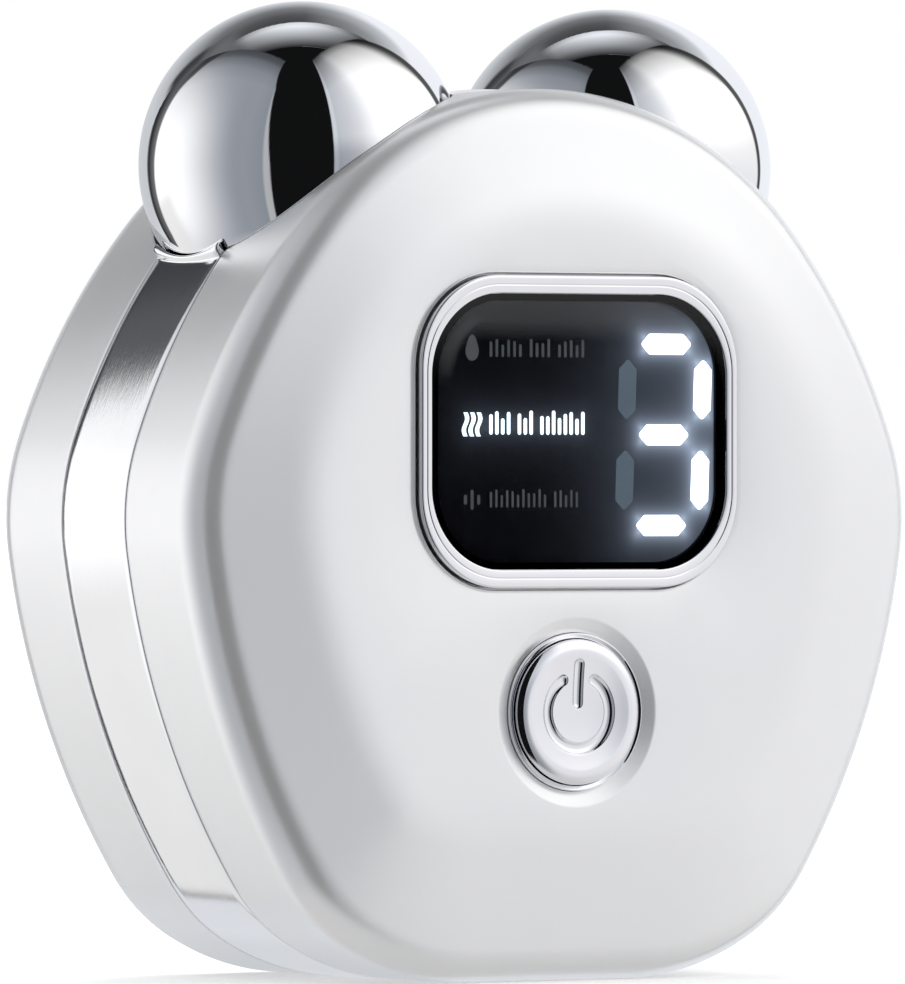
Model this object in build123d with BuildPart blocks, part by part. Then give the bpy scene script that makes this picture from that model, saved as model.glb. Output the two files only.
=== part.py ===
"""Facial toning device: a palm-size housing with two turning roller balls.

Frame, in millimetres: +X to the right as the user faces the display, +Y to the back, so that the
display and the button face -Y, and +Z up. The origin is the centre of the flat base.
"""
import os
from math import cos, radians, sin, tan

from build123d import *

os.makedirs("parts", exist_ok=True)

# ---------------------------------------------------------------- driving dimensions: housing
RIDGE_Y = 13.6  # where the side wall meets the bevel, front and rear
PLATEAU_Y = 15.7  # the flat front and rear faces
BAND_HALF = 4.3  # half the width of the middle band
RIDGE_ROUND = 3.0
PLATEAU_ROUND = 14.0
WALL = 1.6
CAVITY_Y = 14.1  # inner face of the front and rear walls
BAND_WALL = 1.4
TONGUE_OUT, TONGUE_IN = 1.45, 2.25  # insets of the tongue that locates a shell in the band
TONGUE_END = 2.9
TONGUE_ROOT = 6.3

# The outline is a chain of tangent arcs from the flat base up to the top, mirrored about X = 0.
TURNS = (30.6, 26.4, 24.8, 28.0, 21.0)  # degrees turned by each arc; the last arc closes the chain
BODY_FLAT, BODY_RADII = 7.2, (20.0, 13.4, 58.6, 17.2, 49.4)
PLATEAU_BOTTOM, PLATEAU_FLAT = 10.9, 8.4
PLATEAU_RADII = (10.4, 4.0, 46.0, 16.0, 25.0)

# ---------------------------------------------------------------- driving dimensions: roller balls
BALL_R = 11.75
BALL_X, BALL_Z = 13.3, 58.5
BALL_WALL = 1.5
SHAFT_TILT = 30.0  # degrees that each shaft leans outward
POCKET_R = BALL_R + 0.35  # opening in the shells and the band
CUP_IN, CUP_OUT = POCKET_R + 0.05, POCKET_R + 1.05
LIP_OUT = POCKET_R + 0.75  # raised lip at the band's end
LIP_RISE = 1.0
SHAFT_R = 1.5
SHAFT_FOOT, SHAFT_TOP = -20.6, 5.2  # along the shaft, from the ball's centre
GROOVE_R, GROOVE = 1.1, (0.1, 0.9)
BUSH_R, BUSH_BORE = 2.5, 1.55
LOWER_BUSH, UPPER_BUSH = (-10.8, 0.0), (1.0, 5.0)
SNAP_RING, SNAP_R, SNAP_BORE = (0.25, 0.75), 2.3, 1.3
HUB_R, HUB = 4.0, (-11.0, 9.3)
HUB_BORE_END = 6.0
BOSS_R, BOSS_FOOT = 3.2, -19.5
TERMINAL = (-20.0, -19.5)
TERMINAL_R = 2.8
HEATER = (-14.5, -13.3)
HEATER_R, HEATER_BORE = 5.0, 3.3

# ---------------------------------------------------------------- driving dimensions: display
DISPLAY_Z = 39.3
BEZEL_W, BEZEL_H, BEZEL_CORNER = 27.0, 22.25, 6.6
WINDOW_W, WINDOW_H, WINDOW_CORNER = 25.2, 19.7, 5.9
BEZEL_FACE, BEZEL_BACK = 16.46, 14.95
BEZEL_ROUND = 0.35
LEDGE_FRONT, LEDGE_W, LEDGE_H, LEDGE_CORNER = 15.2, 24.5, 19.0, 5.5
WINDOW_FACE = 16.12
SEAT_GAP, SEAT_Y = 0.15, 14.7  # the recess around and behind the bezel
OPENING_W, OPENING_H, OPENING_CORNER = 24.9, 19.4, 5.7
MODULE_W, MODULE_H, MODULE_CORNER = 24.3, 18.8, 5.4
MODULE_FACE, MODULE_BACK = 15.12, 12.9
BOARD_THICK = 0.8
DISPLAY_BOARD_W, DISPLAY_BOARD_H = 26.6, 21.0
COLLAR = 1.2
SEGMENT_DEPTH = 0.6
SEGMENT_LONG, SEGMENT_WIDE = 4.4, 1.5
DIGIT_X, DIGIT_Z = 7.8, DISPLAY_Z - 0.2  # the digit's centre
DIGIT_HALF_W, DIGIT_HALF_H = 3.25, 6.5  # from there to the lines of its outer segments
DIGIT_LEAN = 2.0  # degrees that the digit leans to the right
MODE_X, MODE_STEP, MODE_GAP = -4.0, 5.3, 0.7
MODE_ROWS = ((3.8, 2.0, 2.2), (2.8, 2.0, 3.8), (5.2, 2.8))  # lengths of the bars, top row first
PIN_PITCH, PIN_COUNT = 2.0, 8

# ---------------------------------------------------------------- driving dimensions: button
BUTTON_Z = 19.3
WELL_R, WELL_FLOOR, FLOOR_BACK = 5.85, 13.4, 12.9
DIMPLE_R, DIMPLE_Y = 6.7, 15.3
RING_BORE, RING_FACE = 5.3, 15.4
CAP_R, CAP_FACE, CAP_BACK = 5.0, 16.4, 14.4
CAP_ROUND, DISH_R, DISH_DEPTH = 0.45, 30.0, 0.35
STEM_R, STEM_BORE, STEM_END = 1.6, 1.9, 12.1
CLIP_R, CLIP = 2.9, (12.4, 12.8)
STEM_GROOVE_R = 1.2
SYMBOL_R, SYMBOL_STROKE, SYMBOL_RISE = 3.05, 0.75, 0.22
SYMBOL_GAP, SYMBOL_BAR, SYMBOL_BAR_FOOT = 2.5, 3.5, 0.05
SWITCH_SIDE, SWITCH_FACE = 4.5, 11.2
PLUNGER_R, PLUNGER_BORE = 1.0, 1.08

# ---------------------------------------------------------------- driving dimensions: inner pieces
PLATE_FRONT, PLATE_BACK, PLATE_INSET = -3.0, -1.2, 3.0
MAIN_FRONT, MAIN_BACK = -10.6, -9.6
MAIN_HALF_W, MAIN_LOW, MAIN_HIGH = 14.0, 13.0, 46.0
BOARD_POSTS = [(-11.5, 15.5), (11.5, 15.5), (-11.5, 43.5), (11.5, 43.5)]
CASE_POSTS = [(-16.5, 10.5), (16.5, 10.5), (-20.5, 36.0), (20.5, 36.0)]
POST_R, POST_BORE = 1.6, 0.6
CASE_POST_R, CASE_BORE, CASE_BORE_END = 2.4, 0.7, 9.0
SIDE_HOOK_X, SIDE_CATCH_X, SIDE_HOOK_Z = (26.6, 27.6), (25.9, 26.6), (30.0, 34.0)
FOOT_HOOK_X, FOOT_HOOK_Z, FOOT_CATCH_Z = (-2.5, 2.5), (2.6, 3.6), (3.6, 4.3)
HOOK_TIP, CATCH_BACK = -3.8, -3.05  # the catch stands in front of the carrier's plate
HOOK_ROOM = 0.2
CELL_W, CELL_LOW, CELL_HIGH, CELL_FRONT, CELL_BACK = 26.0, 12.0, 36.0, -0.9, 5.1
BATTERY_RAIL_X, BATTERY_RAIL_END, BATTERY_RAIL_Z = (13.1, 14.0), 2.5, (14.0, 34.0)
MOTOR_Y, MOTOR_Z, MOTOR_R, MOTOR_LEFT, MOTOR_RIGHT = 2.0, 7.6, 3.0, -1.0, 9.0
SADDLE_X, SADDLE_Z = (0.5, 8.0), (4.4, 10.8)
ROTOR_R, ROTOR_END = 0.4, -7.0
WEIGHT_R, WEIGHT_HUB_R, WEIGHT_LEFT, WEIGHT_LONG = 2.5, 1.1, -6.6, 4.0
SOCKET_Z, SOCKET_W, SOCKET_H, SOCKET_MOUTH, SOCKET_BACK = 8.0, 8.94, 3.2, 14.4, 7.0
CHARGE_BOARD_Y, CHARGE_BOARD_Z, CHARGE_BOARD_HALF_W = (6.0, 12.6), (5.6, 6.4), 8.0
CHARGE_LEDGE_X, CHARGE_LEDGE_Z = (5.0, 8.0), (4.4, 5.6)
PLUG_WINDOW_X, PLUG_WINDOW_Z = (-12.2, -8.8), (35.4, 38.6)  # wires pass the plate here
LEAD_WINDOW_X, LEAD_WINDOW_Z = (10.4, 13.6), (6.0, 9.2)
WIRE_R, WIRE_PITCH = 0.4, 1.1

SIDES = {"left": -1, "right": 1}


def facing(depth):
    """Plane square to Y at Y = -depth: its x is X, its y is Z, and it looks to the front."""
    return Plane.XZ.offset(depth)


def draw_outline(bottom, flat, radii, inset=0.0):
    """Closed outline of tangent arcs, drawn in the sketch that is open; inset moves it inward."""
    with BuildLine() as outline:
        edge = Line((0, bottom + inset), (flat, bottom + inset))
        for radius, turn in zip(radii, TURNS):
            edge = JernArc(edge @ 1, edge % 1, radius - inset, turn)
        heading = sum(TURNS)
        closing = (edge @ 1).X / sin(radians(heading))
        JernArc(edge @ 1, edge % 1, closing, 180 - heading)
        mirror(about=Plane.YZ)
    make_face(outline.edges())


def draw_body(inset=0.0):
    draw_outline(0, BODY_FLAT, BODY_RADII, inset)


def draw_plateau(inset=0.0):
    draw_outline(PLATEAU_BOTTOM, PLATEAU_FLAT, PLATEAU_RADII, inset)


def loft_housing(ridge, plateau, inset, plateau_inset, mode=Mode.ADD):
    """Housing form between two plateaus: straight side wall, and a bevel up to each plateau."""
    sections = []
    for depth in (plateau, ridge, -ridge, -plateau):
        with BuildSketch(facing(depth)) as section:
            if abs(depth) == plateau:
                draw_plateau(plateau_inset)
            else:
                draw_body(inset)
        sections.append(section.sketch)
    loft(sections, ruled=True, mode=mode)


def loft_cavity(mode):
    """Hollow of the housing, one wall's thickness inside it."""
    loft_housing(RIDGE_Y - WALL + 0.1, CAVITY_Y, WALL, WALL / 2, mode)


def ring_band(near, far, outer_inset, inner_inset):
    """Band that follows the outline from Y = -far to Y = -near, between two insets."""
    for inset, mode in ((outer_inset, Mode.ADD), (inner_inset, Mode.SUBTRACT)):
        with BuildSketch(facing(near)) as outline:
            draw_body(inset)
        extrude(outline.sketch, amount=far - near, mode=mode)


def cut_balls(radius):
    """Clear both roller balls' room out of the part that is open."""
    with Locations(*[(side * BALL_X, 0, BALL_Z) for side in SIDES.values()]):
        Sphere(radius, mode=Mode.SUBTRACT)


def ball_plane(side):
    """Plane at a ball's centre that looks up along its shaft."""
    tilt = radians(SHAFT_TILT)
    return Plane(
        origin=(side * BALL_X, 0, BALL_Z),
        x_dir=(cos(tilt), 0, -side * sin(tilt)),
        z_dir=(side * sin(tilt), 0, cos(tilt)),
    )


def disc(plane, span, outer, bore=0.0, mode=Mode.ADD):
    """Round disc or ring square to a plane, from span[0] to span[1] along its normal."""
    with BuildSketch(plane.offset(span[0])) as profile:
        Circle(outer)
        if bore:
            Circle(bore, mode=Mode.SUBTRACT)
    extrude(profile.sketch, amount=span[1] - span[0], mode=mode)


def on_side(span, side):
    """The same stretch of X on the left (-1) or the right (1), lower end first."""
    return sorted((side * span[0], side * span[1]))


def slab(x, y, z, mode=Mode.ADD):
    """Block between pairs of coordinates."""
    centre = ((x[0] + x[1]) / 2, (y[0] + y[1]) / 2, (z[0] + z[1]) / 2)
    with Locations(centre):
        Box(x[1] - x[0], y[1] - y[0], z[1] - z[0], mode=mode)


def window_plate(depth, thick, width, height, corner, mode=Mode.ADD):
    """Round-cornered plate on the display's centre, its front face at Y = -depth."""
    with BuildSketch(facing(depth)) as profile:
        with Locations((0, DISPLAY_Z)):
            RectangleRounded(width, height, corner)
    extrude(profile.sketch, amount=-thick, mode=mode)


def posts(places, near, far, radius, mode=Mode.ADD):
    """Round posts or holes along Y, from Y = -near to Y = -far."""
    with BuildSketch(facing(near)) as profile:
        with Locations(*places):
            Circle(radius)
    extrude(profile.sketch, amount=far - near, mode=mode)


def wire(points, bend):
    """Round wire along straight runs joined by tangent arcs."""
    with BuildLine() as path:
        FilletPolyline(*points, radius=bend)
    with BuildSketch(Plane(origin=path.line @ 0, z_dir=path.line % 0)) as section:
        Circle(WIRE_R)
    sweep(section.sketch, path=path.line)
    print("wire bends, mm:", bend if isinstance(bend, float) else [round(b, 2) for b in bend])


def save(part, label):
    """Label a finished piece and write its file."""
    part.label = label
    export_step(part, f"parts/{label}.step")


# ---------------------------------------------------------------- housing
with BuildPart() as housing:
    loft_housing(RIDGE_Y, PLATEAU_Y, 0, 0)
    for ridge in (-RIDGE_Y, RIDGE_Y):
        fillet(housing.edges().filter_by_position(Axis.Y, ridge - 0.01, ridge + 0.01), RIDGE_ROUND)
    for face in (-PLATEAU_Y, PLATEAU_Y):
        fillet(housing.edges().filter_by_position(Axis.Y, face - 0.01, face + 0.01), PLATEAU_ROUND)

with BuildPart() as front_tongue:
    ring_band(BAND_HALF, TONGUE_ROOT, WALL - 0.2, TONGUE_IN)
    ring_band(TONGUE_END, BAND_HALF, TONGUE_OUT, TONGUE_IN)
    cut_balls(CUP_OUT + 0.05)

with BuildPart() as front_shell:
    add(housing.part)
    split(bisect_by=facing(BAND_HALF), keep=Keep.TOP)
    loft_cavity(Mode.SUBTRACT)
    add(front_tongue.part)
    cut_balls(POCKET_R)
    # posts that take the case screws
    posts(CASE_POSTS, -PLATE_FRONT, CAVITY_Y + 0.2, CASE_POST_R)
    posts(CASE_POSTS, -PLATE_FRONT, CASE_BORE_END, CASE_BORE, mode=Mode.SUBTRACT)
    # display seat: collar, recess for the bezel, opening for the module
    collar_depth = CAVITY_Y + 0.1 - MODULE_BACK
    window_plate(CAVITY_Y + 0.1, collar_depth, OPENING_W + 2 * COLLAR, OPENING_H + 2 * COLLAR, OPENING_CORNER)
    recess_w, recess_h = BEZEL_W + 2 * SEAT_GAP, BEZEL_H + 2 * SEAT_GAP
    window_plate(PLATEAU_Y, PLATEAU_Y - SEAT_Y, recess_w, recess_h, BEZEL_CORNER + SEAT_GAP, Mode.SUBTRACT)
    window_plate(PLATEAU_Y, PLATEAU_Y - MODULE_BACK, OPENING_W, OPENING_H, OPENING_CORNER, Mode.SUBTRACT)
    # button well: collar, bore with a floor, stem hole, dished edge
    button = [(0, BUTTON_Z)]
    posts(button, FLOOR_BACK, CAVITY_Y + 0.1, WELL_R + 1.0)
    posts(button, WELL_FLOOR, PLATEAU_Y, WELL_R, mode=Mode.SUBTRACT)
    posts(button, FLOOR_BACK, WELL_FLOOR, STEM_BORE, mode=Mode.SUBTRACT)
    with BuildSketch(facing(DIMPLE_Y)):
        with Locations((0, BUTTON_Z)):
            Circle(WELL_R)
    with BuildSketch(facing(PLATEAU_Y)):
        with Locations((0, BUTTON_Z)):
            Circle(DIMPLE_R)
    loft(mode=Mode.SUBTRACT)
save(front_shell.part, "front_shell")

with BuildPart() as rear_shell:
    add(housing.part)
    split(bisect_by=facing(-BAND_HALF), keep=Keep.BOTTOM)
    loft_cavity(Mode.SUBTRACT)
    add(mirror(front_tongue.part, about=Plane.XZ, mode=Mode.PRIVATE))
    cut_balls(POCKET_R)
    # hooks that snap over the carrier's plate, at both sides and at the bottom
    for side in SIDES.values():
        slab(on_side(SIDE_HOOK_X, side), (HOOK_TIP, 13.2), SIDE_HOOK_Z)
        slab(on_side(SIDE_CATCH_X, side), (HOOK_TIP, CATCH_BACK), SIDE_HOOK_Z)
    slab(FOOT_HOOK_X, (HOOK_TIP, 12.9), FOOT_HOOK_Z)
    slab(FOOT_HOOK_X, (HOOK_TIP, CATCH_BACK), FOOT_CATCH_Z)
    # ledges for the charging board
    for side in SIDES.values():
        slab(on_side(CHARGE_LEDGE_X, side), (CHARGE_BOARD_Y[0], 13.3), CHARGE_LEDGE_Z)
    # mouth for the charging socket
    with BuildSketch(facing(-PLATEAU_Y)):
        with Locations((0, SOCKET_Z)):
            SlotOverall(SOCKET_W + 0.36, SOCKET_H + 0.4)
    extrude(amount=4.0, mode=Mode.SUBTRACT)
save(rear_shell.part, "rear_shell")

with BuildPart() as band_ring:
    ring_band(-BAND_HALF, BAND_HALF, 0, BAND_WALL)
    cut_balls(POCKET_R)

# raised lip that hugs the ball at each end of the band
with BuildPart() as lips:
    ring_band(-BAND_HALF, BAND_HALF, -LIP_RISE, BAND_WALL)
    slab((-17.0, 17.0), (-6, 6), (-10, 80), mode=Mode.SUBTRACT)
    with Locations(*[(side * BALL_X, 0, BALL_Z) for side in SIDES.values()]):
        Sphere(LIP_OUT, mode=Mode.INTERSECT)
    cut_balls(POCKET_R)

with BuildPart() as mid_band:
    add(band_ring.part)
    slab((-8, 8), (-6, 6), (55, 70), mode=Mode.SUBTRACT)
    add(lips.part)
save(mid_band.part, "mid_band")

with BuildPart() as top_bridge:
    add(band_ring.part)
    slab((-8, 8), (-6, 6), (55, 70), mode=Mode.INTERSECT)
save(top_bridge.part, "top_bridge")

# ---------------------------------------------------------------- roller carrier
motor_axis = Plane.YZ.shift_origin((0, MOTOR_Y, MOTOR_Z))

with BuildPart() as cups:
    with Locations(*[(side * BALL_X, 0, BALL_Z) for side in SIDES.values()]):
        Sphere(CUP_OUT)
    loft_cavity(Mode.INTERSECT)

with BuildPart() as carrier:
    with BuildSketch(facing(-PLATE_BACK)):
        draw_body(PLATE_INSET)
    extrude(amount=PLATE_BACK - PLATE_FRONT)
    add(cups.part)
    for side in SIDES.values():
        disc(ball_plane(side), (BOSS_FOOT, -CUP_IN), BOSS_R)
    for side in SIDES.values():
        plane = ball_plane(side)
        disc(plane, (HEATER[0] - 0.1, HEATER[1] + 0.1), HEATER_R + 0.2, BOSS_R, Mode.SUBTRACT)
        disc(plane, (SHAFT_FOOT - 0.4, BOSS_FOOT), BOSS_R, 0, Mode.SUBTRACT)
        disc(plane, (BOSS_FOOT, -CUP_IN + 1), SHAFT_R, 0, Mode.SUBTRACT)
    cut_balls(CUP_IN)
    # board posts, battery rails and the motor's saddle
    posts(BOARD_POSTS, -PLATE_FRONT, -MAIN_BACK, POST_R)
    posts(BOARD_POSTS, 6.0, -MAIN_BACK, POST_BORE, mode=Mode.SUBTRACT)
    for side in SIDES.values():
        slab(on_side(BATTERY_RAIL_X, side), (PLATE_BACK, BATTERY_RAIL_END), BATTERY_RAIL_Z)
    slab(SADDLE_X, (PLATE_BACK, MOTOR_Y), SADDLE_Z)
    disc(motor_axis, (0, MOTOR_RIGHT), MOTOR_R, 0, Mode.SUBTRACT)
    # holes for the case screws, windows for the wires, notches for the shell's hooks
    posts(CASE_POSTS, -PLATE_BACK, -PLATE_FRONT, 0.9, mode=Mode.SUBTRACT)
    plate = (PLATE_FRONT, PLATE_BACK)
    slab(PLUG_WINDOW_X, plate, PLUG_WINDOW_Z, Mode.SUBTRACT)
    hook_z = (SIDE_HOOK_Z[0] - HOOK_ROOM, SIDE_HOOK_Z[1] + HOOK_ROOM)
    for side in SIDES.values():
        slab(on_side(LEAD_WINDOW_X, side), plate, LEAD_WINDOW_Z, Mode.SUBTRACT)
        slab(on_side((SIDE_HOOK_X[0] - HOOK_ROOM / 2, 30.0), side), plate, hook_z, Mode.SUBTRACT)
    foot_x = (FOOT_HOOK_X[0] - HOOK_ROOM, FOOT_HOOK_X[1] + HOOK_ROOM)
    slab(foot_x, plate, (2.0, FOOT_HOOK_Z[1] + HOOK_ROOM / 2), Mode.SUBTRACT)
save(carrier.part, "roller_carrier")

# ---------------------------------------------------------------- roller balls, one set a side
for name, side in SIDES.items():
    plane = ball_plane(side)

    with BuildPart() as ball:
        with Locations((side * BALL_X, 0, BALL_Z)):
            Sphere(BALL_R)
            Sphere(BALL_R - BALL_WALL, mode=Mode.SUBTRACT)
        disc(plane, (-BALL_R - 1, -BALL_R / 2), HUB_R, 0, Mode.SUBTRACT)
    save(ball.part, f"roller_ball_{name}")

    with BuildPart() as hub:
        disc(plane, HUB, HUB_R)
        disc(plane, (HUB[0], HUB_BORE_END), BUSH_R, 0, Mode.SUBTRACT)
    save(hub.part, f"ball_hub_{name}")

    for label, span in (("lower_bush", LOWER_BUSH), ("upper_bush", UPPER_BUSH)):
        with BuildPart() as bush:
            disc(plane, span, BUSH_R, BUSH_BORE)
        save(bush.part, f"{label}_{name}")

    with BuildPart() as snap_ring:
        disc(plane, SNAP_RING, SNAP_R, SNAP_BORE)
        with BuildSketch(plane.offset(SNAP_RING[0])):
            with Locations((SNAP_R, 0)):
                Rectangle(SNAP_R, 1.0)
        extrude(amount=SNAP_RING[1] - SNAP_RING[0], mode=Mode.SUBTRACT)
    save(snap_ring.part, f"snap_ring_{name}")

    with BuildPart() as shaft:
        disc(plane, (SHAFT_FOOT, SHAFT_TOP), SHAFT_R)
        disc(plane, GROOVE, SHAFT_R + 1, GROOVE_R, Mode.SUBTRACT)
        chamfer(shaft.edges().group_by(Axis(plane.origin, plane.z_dir))[-1], 0.3)
    save(shaft.part, f"ball_shaft_{name}")

    with BuildPart() as terminal:
        disc(plane, TERMINAL, TERMINAL_R, SHAFT_R)
        with BuildSketch(plane.offset(TERMINAL[0])):
            with Locations((0, -TERMINAL_R - 0.4)):
                Rectangle(1.6, 1.8)
        extrude(amount=TERMINAL[1] - TERMINAL[0])
    save(terminal.part, f"contact_ring_{name}")

    with BuildPart() as heater:
        disc(plane, HEATER, HEATER_R, HEATER_BORE)
    save(heater.part, f"heater_ring_{name}")

# ---------------------------------------------------------------- display
with BuildPart() as bezel:
    window_plate(BEZEL_FACE, BEZEL_FACE - BEZEL_BACK, BEZEL_W, BEZEL_H, BEZEL_CORNER)
    window_plate(BEZEL_FACE, BEZEL_FACE - LEDGE_FRONT, WINDOW_W + 0.1, WINDOW_H + 0.1, WINDOW_CORNER,
                 Mode.SUBTRACT)
    window_plate(BEZEL_FACE, BEZEL_FACE - BEZEL_BACK, LEDGE_W, LEDGE_H, LEDGE_CORNER, Mode.SUBTRACT)
    fillet(bezel.edges().group_by(Axis.Y)[0], BEZEL_ROUND)
save(bezel.part, "display_bezel")

with BuildPart() as window:
    window_plate(WINDOW_FACE, WINDOW_FACE - LEDGE_FRONT, WINDOW_W, WINDOW_H, WINDOW_CORNER)
save(window.part, "display_window")

with BuildPart() as gasket:
    window_plate(BEZEL_BACK, BEZEL_BACK - SEAT_Y, BEZEL_W - 0.4, BEZEL_H - 0.4, BEZEL_CORNER - 0.2)
    window_plate(BEZEL_BACK, BEZEL_BACK - SEAT_Y, OPENING_W, OPENING_H, OPENING_CORNER, Mode.SUBTRACT)
save(gasket.part, "window_gasket")


def segment(x, z, upright):
    """One bar of the digit, pointed at both ends, moved and turned by the digit's lean."""
    long, wide = SEGMENT_LONG / 2, SEGMENT_WIDE / 2
    corners = [(-long, 0), (-long + wide, wide), (long - wide, wide), (long, 0)]
    corners += [(long - wide, -wide), (-long + wide, -wide)]
    with Locations((x + z * tan(radians(DIGIT_LEAN)), DIGIT_Z + z)):
        Polygon(*corners, rotation=90 - DIGIT_LEAN if upright else 0, align=None)


LIT = [(DIGIT_X, z, False) for z in (DIGIT_HALF_H, 0, -DIGIT_HALF_H)]
LIT += [(DIGIT_X + DIGIT_HALF_W, z, True) for z in (DIGIT_HALF_H / 2, -DIGIT_HALF_H / 2)]
UNLIT = [(DIGIT_X - DIGIT_HALF_W, z, True) for z in (DIGIT_HALF_H / 2, -DIGIT_HALF_H / 2)]


def mode_bars():
    """Three rows of short bars that stand for the working modes."""
    for row, lengths in zip((1, 0, -1), MODE_ROWS):
        start = MODE_X - (sum(lengths) + MODE_GAP * (len(lengths) - 1)) / 2
        for length in lengths:
            with Locations((start + length / 2, DISPLAY_Z + row * MODE_STEP)):
                SlotOverall(length, 0.8)
            start += length + MODE_GAP


def light_pieces(mode=Mode.ADD, lit=(), bars=False):
    """Light guides set in the face of the display module."""
    with BuildSketch(facing(MODULE_FACE)) as guides:
        for place in lit:
            segment(*place)
        if bars:
            mode_bars()
    extrude(guides.sketch, amount=-SEGMENT_DEPTH, mode=mode)


with BuildPart() as module:
    window_plate(MODULE_FACE, MODULE_FACE - MODULE_BACK, MODULE_W, MODULE_H, MODULE_CORNER)
    light_pieces(Mode.SUBTRACT, LIT + UNLIT, bars=True)
save(module.part, "display_module")

with BuildPart() as digit_lit:
    light_pieces(lit=LIT)
save(digit_lit.part, "digit_lit")

with BuildPart() as digit_unlit:
    light_pieces(lit=UNLIT)
save(digit_unlit.part, "digit_unlit")

with BuildPart() as mode_marks:
    light_pieces(bars=True)
save(mode_marks.part, "mode_marks")

with BuildPart() as display_board:
    window_plate(MODULE_BACK, BOARD_THICK, DISPLAY_BOARD_W, DISPLAY_BOARD_H, 2.0)
save(display_board.part, "display_board")

with BuildPart() as display_pins:
    with BuildSketch(facing(-MAIN_FRONT)):
        with Locations((0, 31.0)):
            with GridLocations(PIN_PITCH, 1, PIN_COUNT, 1):
                Rectangle(0.5, 0.5)
    extrude(amount=MODULE_BACK - BOARD_THICK + MAIN_FRONT)
save(display_pins.part, "display_pins")

# ---------------------------------------------------------------- power button and its switch
button_axis = facing(0).shift_origin((0, 0, BUTTON_Z))

with BuildPart() as button_ring:
    disc(button_axis, (WELL_FLOOR, RING_FACE), WELL_R, RING_BORE)
    fillet(button_ring.edges().group_by(Axis.Y)[0], 0.15)
save(button_ring.part, "button_ring")

with BuildPart() as power_button:
    disc(button_axis, (CAP_BACK, CAP_FACE), CAP_R)
    disc(button_axis, (STEM_END, CAP_BACK), STEM_R)
    disc(button_axis, CLIP, STEM_R + 1, STEM_GROOVE_R, Mode.SUBTRACT)
    fillet(power_button.edges().group_by(Axis.Y)[0], CAP_ROUND)
    # the finger's dish
    with Locations((0, -CAP_FACE + DISH_DEPTH - DISH_R, BUTTON_Z)):
        Sphere(DISH_R, mode=Mode.SUBTRACT)
    # raised power symbol: an open ring and an upright bar
    with BuildSketch(facing(CAP_FACE - DISH_DEPTH - 0.2)):
        with Locations((0, BUTTON_Z)):
            Circle(SYMBOL_R)
            Circle(SYMBOL_R - SYMBOL_STROKE, mode=Mode.SUBTRACT)
        with Locations((0, BUTTON_Z + SYMBOL_R)):
            Rectangle(SYMBOL_GAP, SYMBOL_R, mode=Mode.SUBTRACT)
        with Locations((0, BUTTON_Z + SYMBOL_BAR_FOOT + SYMBOL_BAR / 2)):
            SlotOverall(SYMBOL_BAR, SYMBOL_STROKE, rotation=90)
    extrude(amount=0.2 + SYMBOL_RISE)
save(power_button.part, "power_button")

with BuildPart() as button_clip:
    disc(button_axis, CLIP, CLIP_R, STEM_GROOVE_R)
    slab((0, CLIP_R + 1), (-13, -12), (BUTTON_Z - 0.9, BUTTON_Z + 0.9), Mode.SUBTRACT)
save(button_clip.part, "button_clip")

with BuildPart() as switch_body:
    with BuildSketch(facing(-MAIN_FRONT)):
        with Locations((0, BUTTON_Z)):
            Rectangle(SWITCH_SIDE, SWITCH_SIDE)
            Circle(PLUNGER_BORE, mode=Mode.SUBTRACT)
    extrude(amount=SWITCH_FACE + MAIN_FRONT)
    fillet(switch_body.edges().filter_by(Axis.Y).filter_by(GeomType.LINE), 0.3)
save(switch_body.part, "switch_body")

with BuildPart() as switch_plunger:
    disc(button_axis, (SWITCH_FACE - 0.05, STEM_END), PLUNGER_R)
save(switch_plunger.part, "switch_plunger")

# ---------------------------------------------------------------- main board
with BuildPart() as main_board:
    with BuildSketch(facing(-MAIN_BACK)):
        with Locations((0, (MAIN_LOW + MAIN_HIGH) / 2)):
            RectangleRounded(2 * MAIN_HALF_W, MAIN_HIGH - MAIN_LOW, 2.0)
        with Locations(*BOARD_POSTS):
            Circle(0.8, mode=Mode.SUBTRACT)
    extrude(amount=MAIN_BACK - MAIN_FRONT)
save(main_board.part, "main_board")

with BuildPart() as chip:
    slab((-9.0, -2.0), (MAIN_BACK, MAIN_BACK + 1.0), (27.0, 34.0))
save(chip.part, "controller_chip")

with BuildPart() as coil:
    posts([(5.5, 30.5)], -MAIN_BACK - 0.8, -MAIN_BACK, 3.4)
    posts([(5.5, 30.5)], -MAIN_BACK - 3.2, -MAIN_BACK - 0.8, 2.6)
    posts([(5.5, 30.5)], -MAIN_BACK - 4.0, -MAIN_BACK - 3.2, 3.4)
save(coil.part, "boost_coil")

with BuildPart() as capacitors:
    posts([(-6.0, 21.0), (0.0, 21.0), (6.0, 21.0)], -MAIN_BACK - 4.6, -MAIN_BACK, 2.0)
save(capacitors.part, "capacitors")

with BuildPart() as battery_socket:
    slab((-12.6, -8.4), (MAIN_BACK, MAIN_BACK + 3.6), (34.4, 39.6))
    slab((-11.8, -9.2), (MAIN_BACK + 1.0, MAIN_BACK + 3.6), (35.2, 38.8), Mode.SUBTRACT)
save(battery_socket.part, "battery_socket")

# ---------------------------------------------------------------- battery
with BuildPart() as cell:
    slab((-CELL_W / 2, CELL_W / 2), (CELL_FRONT, CELL_BACK), (CELL_LOW, CELL_HIGH))
    fillet(cell.edges().filter_by(Axis.Z), 1.6)
save(cell.part, "battery_cell")

with BuildPart() as cell_board:
    slab((-8.0, 8.0), (0.8, 4.2), (CELL_HIGH, CELL_HIGH + 1.9))
save(cell_board.part, "cell_board")

with BuildPart() as cell_pad:
    slab((-12.0, 12.0), (PLATE_BACK, CELL_FRONT), (13.0, 34.0))
save(cell_pad.part, "cell_pad")

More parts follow.
